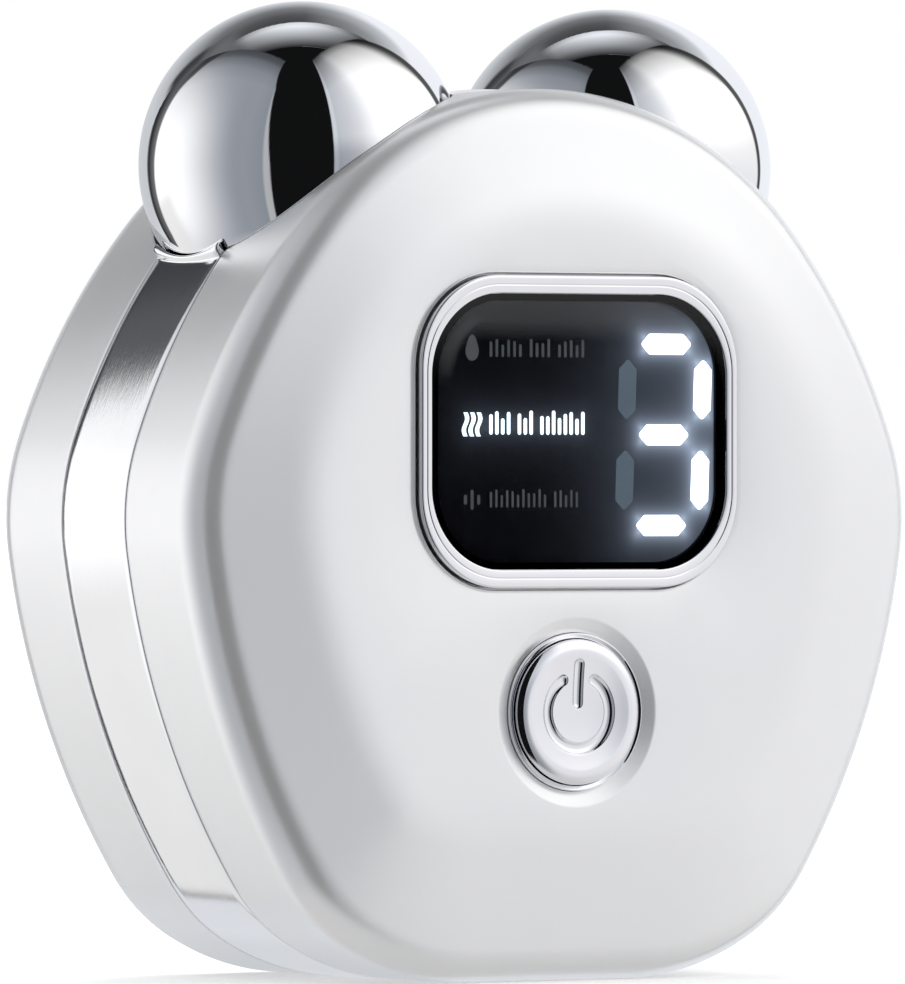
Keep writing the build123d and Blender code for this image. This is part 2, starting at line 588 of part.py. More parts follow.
# ---------------------------------------------------------------- vibration motor, along X
with BuildPart() as motor_can:
    disc(motor_axis, (MOTOR_LEFT, MOTOR_RIGHT), MOTOR_R)
    disc(motor_axis, (MOTOR_LEFT, MOTOR_LEFT + 3.0), ROTOR_R + 0.06, 0, Mode.SUBTRACT)
    fillet(motor_can.edges().group_by(Axis.X)[-1], 0.4)
save(motor_can.part, "motor_can")

with BuildPart() as motor_shaft:
    disc(motor_axis, (ROTOR_END, MOTOR_LEFT + 2.6), ROTOR_R)
save(motor_shaft.part, "motor_shaft")

with BuildPart() as motor_weight:
    with BuildSketch(motor_axis.offset(WEIGHT_LEFT)):
        with BuildLine():
            arc = CenterArc((0, 0), WEIGHT_R, 180, 180)
            Line(arc @ 0, arc @ 1)
        make_face()
        Circle(WEIGHT_HUB_R)
        Circle(ROTOR_R, mode=Mode.SUBTRACT)
    extrude(amount=WEIGHT_LONG)
save(motor_weight.part, "motor_weight")

# ---------------------------------------------------------------- charging socket
with BuildPart() as charge_board:
    slab((-CHARGE_BOARD_HALF_W, CHARGE_BOARD_HALF_W), CHARGE_BOARD_Y, CHARGE_BOARD_Z)
save(charge_board.part, "charge_board")

with BuildPart() as usb_shell:
    with BuildSketch(facing(-SOCKET_BACK)):
        with Locations((0, SOCKET_Z)):
            SlotOverall(SOCKET_W, SOCKET_H)
            SlotOverall(SOCKET_W - 0.6, SOCKET_H - 0.6, mode=Mode.SUBTRACT)
    extrude(amount=SOCKET_BACK - SOCKET_MOUTH)
save(usb_shell.part, "usb_shell")

with BuildPart() as usb_tongue:
    with BuildSketch(facing(-SOCKET_BACK)):
        with Locations((0, SOCKET_Z)):
            SlotOverall(SOCKET_W - 0.6, SOCKET_H - 0.6)
    extrude(amount=-1.4)
    slab((-3.35, 3.35), (SOCKET_BACK + 1.4, SOCKET_MOUTH - 0.8), (SOCKET_Z - 0.35, SOCKET_Z + 0.35))
save(usb_tongue.part, "usb_tongue")

# ---------------------------------------------------------------- screws, two groups
with BuildPart() as case_screws:
    posts(CASE_POSTS, -PLATE_BACK - 1.1, -PLATE_BACK, 1.6)
    posts(CASE_POSTS, -PLATE_BACK, 8.4, 0.7)
    posts(CASE_POSTS, -PLATE_BACK - 1.1, -PLATE_BACK - 0.6, 0.5, mode=Mode.SUBTRACT)
save(case_screws.part, "case_screws")

with BuildPart() as board_screws:
    posts(BOARD_POSTS, -MAIN_FRONT, -MAIN_FRONT + 0.9, 1.3)
    posts(BOARD_POSTS, 6.6, -MAIN_FRONT, 0.6)
    posts(BOARD_POSTS, -MAIN_FRONT + 0.4, -MAIN_FRONT + 0.9, 0.4, mode=Mode.SUBTRACT)
save(board_screws.part, "board_screws")

# ---------------------------------------------------------------- wires, two in each node
PLUG_Y = MAIN_BACK + 1.0  # bottom of the battery socket's mouth
TERMINAL_TIP = -TERMINAL_R - 1.3
PAIR = (-WIRE_PITCH / 2, WIRE_PITCH / 2)  # the two wires of a lead lie this far off its line
LEAD_X, LEAD_END_X, LEAD_END_Z = 12.0, 8.0, 16.5  # both leads turn up here to meet the board

with BuildPart() as battery_leads:
    for step in PAIR:
        z = CELL_HIGH + 1.0 + step
        wire([(-8.0, 2.5, z), (-10.5, 2.5, z), (-10.5, PLUG_Y, z)], 2.0)
save(battery_leads.part, "battery_leads")

with BuildPart() as electrode_wires:
    for side in SIDES.values():
        foot = ball_plane(side).from_local_coords((0, TERMINAL_TIP, (TERMINAL[0] + TERMINAL[1]) / 2))
        x, y, z = foot.X, foot.Y, foot.Z
        end = x + side * 2.0
        wire([(x, y, z), (x, -6.0, z), (end, -7.8, z), (end, MAIN_BACK, z)], 1.8)
save(electrode_wires.part, "electrode_wires")

with BuildPart() as motor_leads:
    for step in PAIR:
        x, y, across, z = LEAD_X + step, MOTOR_Y + step, MOTOR_Y + step - 8.5, LEAD_END_Z + step
        wire([(MOTOR_RIGHT, y, MOTOR_Z), (x, y, MOTOR_Z), (x, across, MOTOR_Z), (LEAD_END_X, across, z),
              (LEAD_END_X, MAIN_BACK, z)], [1.6, 2.4, 1.2])
save(motor_leads.part, "motor_leads")

with BuildPart() as charge_leads:
    for step in PAIR:
        x, along, across, z = step - 7.0, 8.1 + step, step - 6.5, LEAD_END_Z + step
        wire([(x, 7.2, CHARGE_BOARD_Z[1]), (x, 7.2, along), (-LEAD_X, 5.0, along), (-LEAD_X, across, along),
              (-LEAD_END_X, across, z), (-LEAD_END_X, MAIN_BACK, z)], [0.8, 2.0, 2.0, 1.2])
save(charge_leads.part, "charge_leads")
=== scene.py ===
"""Looks of a facial toning device: its visible pieces, their finishes and a plain studio.

Lengths are millimetres and angles are degrees unless a comment says otherwise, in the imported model's
axes: X to the user's right, Y to the back, Z up. MM turns lengths into metres as a mesh is made.
"""

import bmesh
import bpy
import numpy as np
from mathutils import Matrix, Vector, geometry


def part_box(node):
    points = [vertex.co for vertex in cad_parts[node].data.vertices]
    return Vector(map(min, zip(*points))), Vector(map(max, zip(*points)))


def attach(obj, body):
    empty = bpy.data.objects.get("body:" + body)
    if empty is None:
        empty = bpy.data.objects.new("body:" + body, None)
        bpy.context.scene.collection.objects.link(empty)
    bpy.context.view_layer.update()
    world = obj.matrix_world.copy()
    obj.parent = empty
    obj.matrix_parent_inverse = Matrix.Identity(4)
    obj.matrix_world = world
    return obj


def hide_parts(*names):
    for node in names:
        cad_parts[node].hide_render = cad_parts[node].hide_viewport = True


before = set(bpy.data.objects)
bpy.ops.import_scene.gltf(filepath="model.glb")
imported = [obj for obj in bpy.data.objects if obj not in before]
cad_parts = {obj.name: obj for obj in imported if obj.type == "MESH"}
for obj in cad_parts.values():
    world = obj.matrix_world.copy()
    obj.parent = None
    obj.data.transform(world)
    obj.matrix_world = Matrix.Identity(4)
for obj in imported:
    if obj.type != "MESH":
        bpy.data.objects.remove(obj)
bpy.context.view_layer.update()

MM = 0.001
WELD = 1e-4  # points nearer than this become one
LAID_OUT = 1e-7  # points nearer than this are one to the triangulation
SLIVER = 1e-6  # triangles of less area, which lie along a straight edge, are left out
EASE = 0.15  # radius of the small rounding along moulded edges

# ------------------------------------------------------------------ sizes: housing
PARTING_Y = 4.3  # half the width of the chromed middle band
RIDGE_Y, RIDGE_ROUND = 13.6, 3.0  # where the side wall turns into the bevel
PLATEAU_Y, PLATEAU_ROUND = 15.7, 14.0  # the flat front and rear faces
WALL, BAND_WALL = 1.6, 1.4  # thickness of the shells and of the band
BAND_CROWN = 0.012  # how far the band falls away towards its two edges
TURNS = (30.6, 26.4, 24.8, 28.0, 21.0)  # degrees turned by each arc of the outline
BODY = (0.0, 7.2, (20.0, 13.4, 58.6, 17.2, 49.4))  # bottom, half flat, radii of the arcs
PLATEAU = (10.9, 8.4, (10.4, 4.0, 46.0, 16.0, 25.0))  # outline of the flat faces, given as BODY is
FLAT_MARGIN = 0.1  # the shell's grid reaches this far into the flat of the plateau
BESIDE_POCKET, BAND_NEAR = 4.0, 3.5  # stretches of the shell's and the band's outline beside a pocket
INNER_ROWS, WALL_ROWS, EDGE_ROWS = 22, 66, 9  # steps up the shell's inside, its outside and the edge
BAND_STEPS, NEAR_STEPS = 150, 14  # steps along the band's outline, and beside the pocket
SUPPORT = (1.2, 1.2, 0.6)  # first loop round the display's recess, in the flat: width, height, corner
SKIRT = 1.0  # how far the back of the button's well reaches past it

# ------------------------------------------------------------------ sizes: roller balls
BALL_LOW, BALL_HIGH = (np.array(corner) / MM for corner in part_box("roller_ball_right"))
BALL_X, BALL_Z = (BALL_LOW + BALL_HIGH)[0] / 2, (BALL_LOW + BALL_HIGH)[2] / 2
BALL_R = (BALL_HIGH - BALL_LOW)[1] / 2
POCKET_GAP = 0.17
POCKET_R = BALL_R + POCKET_GAP
BALL_WALL, BORE_R, BORE_ROUND, SHAFT_TILT = 1.5, 4.0, 0.25, 30.0  # the shaft leans outward
BALL_ROWS, BALL_INNER_ROWS, BALL_COLUMNS = 150, 26, 192  # steps of the outside, the inside, the turn
LIP_THICK, LIP_SPREAD = 0.2, 0.4  # the band's lip beside a ball: its thickness, and more at its ends
LIP_RISE, LIP_ENDS, LIP_ROOT = 0.42, 0.45, 0.08  # its height, more at its ends, and its root's radius

# ------------------------------------------------------------------ sizes: display
DISPLAY_Z = 39.3
RECESS = (27.3, 22.55, 6.75)  # width, height and corner radius, as for each outline of the display
OPENING = (24.9, 19.4, 5.7)
SEAT_Y = 14.7  # the recess's floor, under the gasket and the bezel
COLLAR_Y, COLLAR = 12.9, 1.2  # back of the opening's wall, and its thickness
BEZEL = (27.0, 22.25, 6.6)
BEZEL_BACK, BEZEL_CREST = 14.95, 16.24  # its lowest and highest distance from the middle plane
BEZEL_STEPS, PLATE_STEPS = (24, 22), (24, 16)  # points along each side and round each corner
BEZEL_SECTION = ((0.0, 0.14), (0.015, 0.08), (0.045, 0.04), (0.1, 0.012), (0.17, 0.0), (0.3, 0.006),
                 (0.45, 0.02), (0.49, 0.028), (0.515, 0.07), (0.545, 0.07), (0.57, 0.034), (0.62, 0.032),
                 (0.78, 0.045), (0.93, 0.066), (0.985, 0.08), (1.0, 0.11))  # (way inward, fall)
WINDOW = (25.2, 19.7, 5.9)
LEDGE, LEDGE_Y = (24.5, 19.0, 5.5), 15.2  # the bezel's inner ledge, which carries the window
WINDOW_FACE, WINDOW_ROLL, WINDOW_DROP = 16.15, 1.3, 0.09  # its edge rolls down by the drop
PLATE_GAP, PLATE_FLAT = 0.03, 0.6  # clear round a plate; a ring in its flat middle, past the roll
PLATE_CORNER, PLATE_EDGE = 0.8, (0.03, 0.05)  # least corner radius; two falls under the rolled edge
SHEEN_PAST, SHEEN_TOP, SHEEN_CORNER = 0.5, 2.5, 4.6  # the painted sheen's inner outline in the window
REFLECTION_STREAK_IN, BLACK_BORDER = 1.5, 0.5  # the painted reflection streak in the corner and the printed border, in from the edge
MODULE, MODULE_FACE, MODULE_BACK = (24.3, 18.8, 5.4), 15.12, 12.9  # the display behind the window
MODULE_ROLL, MODULE_DROP = 0.3, 0.02
PROUD, GUIDE_BACK = 0.04, 14.52  # the light guides stand this far out of the module; their back
SEGMENT_LONG, SEGMENT_WIDE, SEGMENT_CORNER = 4.4, 1.5, 0.22  # one bar of the digit
DIGIT_X, DIGIT_Z, DIGIT_LEAN = 7.8, 39.1, 2.0  # its middle, and the degrees it leans to the right
DIGIT_HALF_W, DIGIT_HALF_H = 3.25, 6.5  # from its middle to the middles of its outer bars
MODE_STEP, MODE_RAISED = 5.35, 0.5  # between the rows of signs, and the middle row over DISPLAY_Z
MODE_ICON_X, MODE_START, MODE_GAP = -8.6, -7.0, 0.42  # X of a sign and its first mark; group's gap
MODE_MARKS = ((6, 4, 5), (4, 3, 8), (11, 5))  # upright marks in each group, top row first
MODE_PITCH, MODE_WIDE, MODE_HIGH = (0.5, 0.5, 0.46), (0.21, 0.28, 0.17), (1.1, 1.45, 1.1)  # by row
MODE_SWAY = (0.2, 2.3)  # how much the marks' heights vary, and radians of the sine from mark to mark
ICON_ACROSS = (-0.56, 0.0, 0.56)  # places of a sign's three strokes
DROP_R, DROP_POINT = 0.62, 0.38  # the drop's radius, and how far its point reaches past it
DROP_SHAPE, DROP_LOW = (0.9, 1.15), 0.12  # its width and height beside a circle's, and how low it sits
WAVE_SWAY, WAVE_HALF, WAVE_HIGH = 0.14, 0.17, 0.85  # sideways, half the stroke, half the height
PULSE_WIDE, PULSE_HIGH = 0.24, (0.7, 1.4, 0.7)  # the three bars of the pulse

# ------------------------------------------------------------------ sizes: button
BUTTON_Z = 19.3
WELL_R, WELL_FLOOR, FLOOR_BACK, STEM_BORE = 5.66, 13.4, 12.9, 1.9  # the floor's front and back
DIMPLE_R, DIMPLE_Y, DIMPLE_EDGE = 6.86, 15.26, 0.16  # slope round the well; the share rounded over
WELL_BRIM, WELL_EDGE = 0.1, ((0.03, 0.02), (0.0, 0.08))  # the slope's end; (out of the well, under)
RING_BORE, RING_GAP = 5.27, 0.02  # the ring's bore, and its clearance in the well
RING_FACE, RING_FALL, RING_ROUND = 15.64, 0.11, 0.09  # its face falls towards the bore
CAP_R, CAP_FACE, CAP_BACK = 5.2, 16.26, 14.4
CAP_RIM_R, CAP_RIM_TURN = 4.1, 44.0  # where the face rolls over, and how many degrees it turns there
CAP_ROUND, CAP_EDGE = 1.28, 0.1  # radius of that roll, and the last step down to the side
DISH_R, DISH_DEPTH = 25.0, 0.5  # the face is part of a sphere, this deep at the middle
FACE_STEP, FACE_CLEAR = 0.22, 0.1  # loose points of the dished face: between rings, off the strokes
FACE_FIRST, FACE_POINTS, FACE_LEAST = 0.3, 26, 6  # first ring's radius; points by radius, and more
STEM_R, STEM_END = 1.6, 12.1
CLIP_GROOVE, CLIP_GROOVE_R = (12.4, 12.8), 1.2  # the stem's groove for the clip
SYMBOL_LINE_R, SYMBOL_HALF, SYMBOL_DEPTH = 2.62, 0.46, 0.24  # ring's radius, half a stroke, its depth
SYMBOL_OPEN, BAR_LOW, BAR_HIGH = 30.0, 0.65, 3.4  # degrees open each side of the bar; the bar's ends
SYMBOL_SECTION = ((-0.1, 0), (0, 0), (0.05, 0.03), (0.11, 0.16), (0.2, 0.42), (0.3, 0.62),
                  (0.5, 0.83), (0.75, 0.96), (1, 1))  # (way to the centre line, share of the depth)

# ------------------------------------------------------------------ sizes: charging socket
SOCKET_Z, SOCKET_MOUTH = 8.0, (9.3, 3.6)
SOCKET_REACH, SOCKET_BLOCK = (4.9, 11.2), 13  # heights, and columns each side, refilled round it
SOCKET_CLEAR, SOCKET_LOOSE = 6.2, 0.45  # half width of the finer columns; loose points' distance


# ------------------------------------------------------------------ mesh tools
def grid(points, wrap_rows=False, wrap_columns=False):
    """Patch of four-sided faces over points given as rows by columns by 3; a wrapped way closes."""
    rows, columns = points.shape[:2]
    index = np.arange(rows * columns).reshape(rows, columns)
    if wrap_rows:
        index = np.vstack([index, index[:1]])
    if wrap_columns:
        index = np.hstack([index, index[:, :1]])
    corners = [index[:-1, :-1], index[:-1, 1:], index[1:, 1:], index[1:, :-1]]
    return points.reshape(-1, 3), np.stack(corners, axis=-1).reshape(-1, 4)


def inside(spots, loop):
    """Which spots lie within a closed loop, both in a plane: an odd count of edges to their right."""
    x, y = spots[:, :1], spots[:, 1:]
    x0, y0 = loop[:, 0], loop[:, 1]
    x1, y1 = np.roll(x0, -1), np.roll(y0, -1)
    spans = (y0 > y) != (y1 > y)
    with np.errstate(divide="ignore", invalid="ignore"):
        crossing = x0 + (y - y0) * (x1 - x0) / (y1 - y0)
    return (spans & (x < crossing)).sum(axis=1) % 2 == 1


def fill(outer, holes=(), extra=None):
    """Patch of triangles between an outer loop and its holes, laid out on X and Z (constrained
    Delaunay); extra gives loose points that the triangles also use."""
    loops = [outer, *holes]
    points = np.vstack(loops + ([extra] if extra is not None else []))
    edges, start = [], 0
    for loop in loops:
        around = start + np.arange(len(loop))
        edges += np.stack([around, np.roll(around, -1)], axis=1).tolist()
        start += len(loop)
    flat = [Vector(p) for p in points[:, [0, 2]]]
    _, _, triangles, sources, _, _ = geometry.delaunay_2d_cdt(flat, edges, [], 0, LAID_OUT)
    first = np.array([source[0] for source in sources])
    triangles = first[np.array(triangles)]
    corners = points[triangles][..., [0, 2]]
    middles, (along, across) = corners.mean(axis=1), np.moveaxis(corners[:, 1:] - corners[:, :1], 1, 0)
    keep = inside(middles, outer[:, [0, 2]]) & (abs(np.cross(along, across)) > SLIVER)
    for hole in holes:
        keep &= ~inside(middles, hole[:, [0, 2]])
    return points, triangles[keep]


def weld(patches):
    """Points and faces of several patches as one surface: points that coincide become one."""
    points = np.vstack([patch[0] for patch in patches])
    starts = np.cumsum([0] + [len(patch[0]) for patch in patches])
    keys = np.round(points / WELD).astype(np.int64)
    _, first, same = np.unique(keys, axis=0, return_index=True, return_inverse=True)
    same = same.ravel()
    faces = []
    for (_, patch_faces), start in zip(patches, starts):
        faces += [list(dict.fromkeys(face)) for face in same[patch_faces + start].tolist()]
    return points[first], [face for face in faces if len(face) > 2]


def new_piece(name, patches, material, body="housing", replaces=(), sharp=40.0):
    """Closed mesh object of welded patches, smooth but for creases sharper than the sharp angle."""
    points, faces = weld(patches)
    mesh = bpy.data.meshes.new(name)
    mesh.from_pydata((points * MM).tolist(), [], faces)
    shape = bmesh.new()
    shape.from_mesh(mesh)
    bmesh.ops.recalc_face_normals(shape, faces=shape.faces)
    open_edges = sum(len(edge.link_faces) != 2 for edge in shape.edges)
    if shape.calc_volume(signed=True) < 0:
        bmesh.ops.reverse_faces(shape, faces=shape.faces)
    shape.to_mesh(mesh)
    shape.free()
    mesh.polygons.foreach_set("use_smooth", np.ones(len(mesh.polygons), bool))
    mesh.set_sharp_from_angle(angle=np.radians(sharp))
    mesh.materials.append(material)
    piece = bpy.data.objects.new(name, mesh)
    bpy.context.scene.collection.objects.link(piece)
    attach(piece, body)
    if replaces:
        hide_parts(*replaces)
    print(name, "faces", len(mesh.polygons), "open edges", open_edges)
    return piece


def quarter(steps):
    """Sine and cosine at even steps over a quarter turn, from 90 degrees down to 0."""
    angle = np.linspace(np.pi / 2, 0, steps)
    return np.sin(angle), np.cos(angle)


def round_rectangle(width, height, corner, side_steps=10, corner_steps=14):
    """Loop (x, z) of a round-cornered rectangle about the origin: four sides, four quarter arcs."""
    half_w, half_h = width / 2 - corner, height / 2 - corner
    sides = np.linspace(0, 1, side_steps, endpoint=False)[:, None]
    loop = []
    centres = ((half_w, -half_h), (half_w, half_h), (-half_w, half_h), (-half_w, -half_h))
    for turn, (x, z) in enumerate(centres):
        angle = np.radians(90 * turn - 90) + np.linspace(0, np.pi / 2, corner_steps, endpoint=False)
        loop.append(np.array((x, z)) + corner * np.stack([np.cos(angle), np.sin(angle)], axis=1))
        heading = np.radians(90 * turn)
        start = np.array((x, z)) + corner * np.array((np.cos(heading), np.sin(heading)))
        length = 2 * (half_h if turn % 2 == 0 else half_w)
        loop.append(start + sides * length * np.array((-np.sin(heading), np.cos(heading))))
    return np.vstack(loop)


def ring_loop(radius, steps=128):
    """Loop (x, z) of a circle about the origin."""
    angle = np.linspace(0, 2 * np.pi, steps, endpoint=False)
    return radius * np.stack([np.cos(angle), np.sin(angle)], axis=1)


def at_depth(loop, depth, centre_z=0.0):
    """Loop (x, z) stood at Y = -depth; depth may differ from point to point."""
    depth = np.broadcast_to(depth, len(loop))
    return np.stack([loop[:, 0], -depth, loop[:, 1] + centre_z], axis=1)


# ------------------------------------------------------------------ outline of the housing
def outward(heading):
    """Unit normal (x, z) of the outline at a heading in radians; the outline runs anticlockwise."""
    return np.stack([np.sin(heading), -np.cos(heading)], axis=-1)


def half_chain(bottom, flat, radii):
    """Right half of an outline, from the flat base to the top: each arc begins where the last one
    ends and has the same heading there; the closing arc is centred on X = 0."""
    headings = np.radians(np.concatenate([[0], np.cumsum(TURNS), [180]]))
    point, centres, radii = np.array((flat, bottom)), [], list(radii)
    for number in range(len(TURNS)):
        centres.append(point - radii[number] * outward(headings[number]))
        point = centres[-1] + radii[number] * outward(headings[number + 1])
    radii.append(point[0] / np.sin(headings[-2]))
    centres.append(point - radii[-1] * outward(headings[-2]))
    lengths = np.concatenate([[flat], np.array(radii) * np.diff(headings)])
    return {"bottom": bottom, "flat": flat, "headings": headings, "centres": np.array(centres),
            "radii": np.array(radii), "lengths": lengths}


FINE_STEPS = 20001  # steps along the outline in which a pocket's ends are looked up
COLUMN_STEPS = 600  # steps up a shell's column in which the pocket's edge is looked up
BODY_CHAIN, PLATEAU_CHAIN = half_chain(*BODY), half_chain(*PLATEAU)
BODY_ENDS = np.concatenate([[0], np.cumsum(BODY_CHAIN["lengths"])])


def on_chain(chain, stage, share):
    """Points (x, z) of a half outline at a share of its way through each stage; stage 0 is the flat."""
    arc = np.maximum(stage - 1, 0)
    heading = chain["headings"][arc] + share * np.diff(chain["headings"])[arc]
    on_arc = chain["centres"][arc] + chain["radii"][arc][..., None] * outward(heading)
    on_flat = np.stack([share * chain["flat"], np.full(np.shape(share), chain["bottom"])], axis=-1)
    return np.where((stage == 0)[..., None], on_flat, on_arc)


def stage_of(length):
    """Stage and share of the body's half outline at a length along it."""
    stage = np.clip(np.searchsorted(BODY_ENDS, length, side="right") - 1, 0, len(BODY_ENDS) - 2)
    share = (length - BODY_ENDS[stage]) / BODY_CHAIN["lengths"][stage]
    return stage, np.clip(share, 0, 1)


def body_at(length):
    """Point and outward normal (x, z) of the body's half outline at a length along it."""
    stage, share = stage_of(length)
    arc = np.maximum(stage - 1, 0)
    turned = share * np.diff(BODY_CHAIN["headings"])[arc]
    heading = np.where(stage == 0, 0.0, BODY_CHAIN["headings"][arc] + turned)
    return on_chain(BODY_CHAIN, stage, share), outward(heading)


def pocket_ends(radius, y):
    """Lengths along the half outline where it enters and leaves a ball's pocket at depth y."""
    lengths = np.linspace(0, BODY_ENDS[-1], FINE_STEPS)
    points, _ = body_at(lengths)
    from_ball = np.hypot(points[:, 0] - BALL_X, points[:, 1] - BALL_Z)
    nearest = from_ball.argmin()
    reach = np.sqrt(radius ** 2 - np.asarray(y, float) ** 2)
    enters = np.interp(-reach, -from_ball[:nearest], lengths[:nearest])
    leaves = np.interp(reach, from_ball[nearest:], lengths[nearest:])
    return enters, leaves


def clear_of_balls(points):
    """Points pushed straight out of the pockets of both balls, onto the pocket's sphere."""
    for side in (-1, 1):
        offset = points - np.array((side * BALL_X, 0.0, BALL_Z))
        distance = np.linalg.norm(offset, axis=-1, keepdims=True)
        points = np.where(distance < POCKET_R, points + offset * (POCKET_R / distance - 1), points)
    return points


# ------------------------------------------------------------------ front and rear shells
def shell_columns():
    """Lengths of the shell's columns along the half outline, closer together beside the pocket."""
    enters, leaves = pocket_ends(POCKET_R, PARTING_Y)
    near = enters - BESIDE_POCKET
    stretches = ((0, SOCKET_CLEAR, 14), (SOCKET_CLEAR, BODY_ENDS[1], 4), (BODY_ENDS[1], near, 120),
                 (near, enters, 14), (enters, leaves, 84), (leaves, BODY_ENDS[-1], 14))
    parts = [np.linspace(start, end, count, endpoint=False) for start, end, count in stretches]
    return np.concatenate(parts + [[BODY_ENDS[-1]]])


class ShellForm:
    """Housing form over the half outline: side wall, rounded ridge, bevel, rounded plateau edge.

    In each column the profile is drawn on (r, y): r runs inward from the body's outline and y is the
    distance from the middle plane. The bevel is the ruled surface between the two outlines, which
    share their headings, so its slope in a column is the plateau's rise over the inset between them.
    """

    def __init__(self, lengths):
        stage, share = stage_of(lengths)
        self.body, self.normal = body_at(lengths)
        self.along = np.stack([-self.normal[:, 1], self.normal[:, 0]], axis=1)
        step = on_chain(PLATEAU_CHAIN, stage, share) - self.body
        self.inset = -(step * self.normal).sum(axis=1)
        self.shift = (step * self.along).sum(axis=1) / self.inset
        rise = PLATEAU_Y - RIDGE_Y
        self.slope = np.arctan2(rise, self.inset)
        ridge_turn = np.pi / 2 - self.slope
        ridge_run = RIDGE_ROUND * np.tan(ridge_turn / 2)
        plateau_run = PLATEAU_ROUND * np.tan(self.slope / 2)
        self.ridge_y = RIDGE_Y - ridge_run
        bevel = np.hypot(rise, self.inset) - ridge_run - plateau_run
        lengths = [self.ridge_y - PARTING_Y, RIDGE_ROUND * ridge_turn, bevel, PLATEAU_ROUND * self.slope]
        self.ends = np.vstack([np.zeros(len(bevel)), np.cumsum(lengths, axis=0)])

    def at(self, way, depth):
        """Points at a length of way up each column's profile and a depth under the surface."""
        _, ridge, bevel, edge, flat = self.ends
        turn = np.clip((way - ridge) / RIDGE_ROUND, 0, np.pi / 2 - self.slope)
        r = RIDGE_ROUND * (1 - np.cos(turn))
        y = PARTING_Y + np.minimum(way, ridge) + RIDGE_ROUND * np.sin(turn)
        ramp = np.clip(way - bevel, 0, edge - bevel)
        r, y = r + ramp * np.cos(self.slope), y + ramp * np.sin(self.slope)
        left = self.slope - np.clip((way - edge) / PLATEAU_ROUND, 0, self.slope)
        r = r + PLATEAU_ROUND * (np.sin(self.slope) - np.sin(left))
        y = y + PLATEAU_ROUND * (np.cos(left) - np.cos(self.slope))
        r = r + np.maximum(way - flat, 0)
        tilt = turn + self.slope - left
        spot = self.body - self.normal * r[..., None] + self.along * (self.shift * r)[..., None]
        spot = spot - self.normal * (depth * np.cos(tilt))[..., None]
        return np.stack([spot[..., 0], y - depth * np.sin(tilt), spot[..., 1]], axis=-1)

    def pocket_way(self):
        """How far up each column the ball's pocket reaches, 0 where it doesn't."""
        ways = np.linspace(0, 1, COLUMN_STEPS)[:, None] * self.ends[3]
        points = self.at(ways, np.zeros_like(ways))
        room = np.linalg.norm(points - np.array((BALL_X, 0, BALL_Z)), axis=-1) - POCKET_R
        last = len(ways) - 1 - (room < 0)[::-1].argmax(axis=0)
        column = np.arange(ways.shape[1])
        after = np.minimum(last + 1, len(ways) - 1)
        share = room[last, column] / (room[last, column] - room[after, column] + 1e-12)
        way = ways[last, column] + share * (ways[after, column] - ways[last, column])
        return np.where((room < 0).any(axis=0), way, 0.0)


def shell_surface(side):
    """Rows of a shell's surface from the inside of its plateau, round the parting edge, to the
    outside of its plateau. side is -1 for the front and 1 for the rear. Columns run anticlockwise
    from the top, down the left and up the right. Gives the points and the first row of the outside."""
    lengths = shell_columns()
    form = ShellForm(lengths)
    start, edge, flat = form.pocket_way(), form.ends[3], form.ends[4]
    sine, cosine = quarter(4)
    rows = [(flat + FLAT_MARGIN, WALL), (flat, WALL)]
    rows += [(edge + (flat - edge) * share, WALL) for share in (0.66, 0.33)]
    rows += [(start + (edge - start) * share, WALL) for share in np.linspace(1, 0, INNER_ROWS)]
    rows += [(start, WALL + (EASE - WALL) * share) for share in (0.35, 0.7)]
    rows += [(start + EASE * (1 - s), EASE * (1 - c)) for s, c in zip(sine, cosine)]
    first_outside = len(rows) - 1
    first = start + EASE
    rows += [(first + (edge - first) * share, 0.0) for share in np.linspace(0, 1, WALL_ROWS)[1:]]
    rows += [(edge + (flat - edge) * share, 0.0) for share in np.linspace(0, 1, EDGE_ROWS)[1:]]
    rows += [(flat + FLAT_MARGIN, 0.0)]
    ways = np.array([way for way, _ in rows])
    depths = np.array([np.broadcast_to(depth, len(start)) for _, depth in rows])
    right = clear_of_balls(form.at(ways, depths))
    left = right[:, :0:-1] * np.array((-1, 1, 1))
    points = np.concatenate([left, right[:, :-1]], axis=1)
    return points * np.array((1, side, 1)), first_outside


def display_hole():
    """Recess and opening for the display: round-cornered loops from the plateau in to the cavity."""
    sine, cosine = quarter(4)
    grown = [(RECESS[0] + 2 * EASE * s, RECESS[1] + 2 * EASE * s, RECESS[2] + EASE * s,
              PLATEAU_Y - EASE * (1 - c)) for s, c in zip(1 - cosine[::-1], sine[::-1])]
    collar = (OPENING[0] + 2 * COLLAR, OPENING[1] + 2 * COLLAR, OPENING[2] + COLLAR)
    support = tuple(size + grow for size, grow in zip(RECESS, SUPPORT))
    stations = [(*support, PLATEAU_Y), *grown, (*RECESS, SEAT_Y), (*OPENING, SEAT_Y),
                (*OPENING, COLLAR_Y), (*collar, COLLAR_Y), (*collar, PLATEAU_Y - WALL)]
    loops = [at_depth(round_rectangle(w, h, c), y, DISPLAY_Z) for w, h, c, y in stations]
    return np.array(loops)


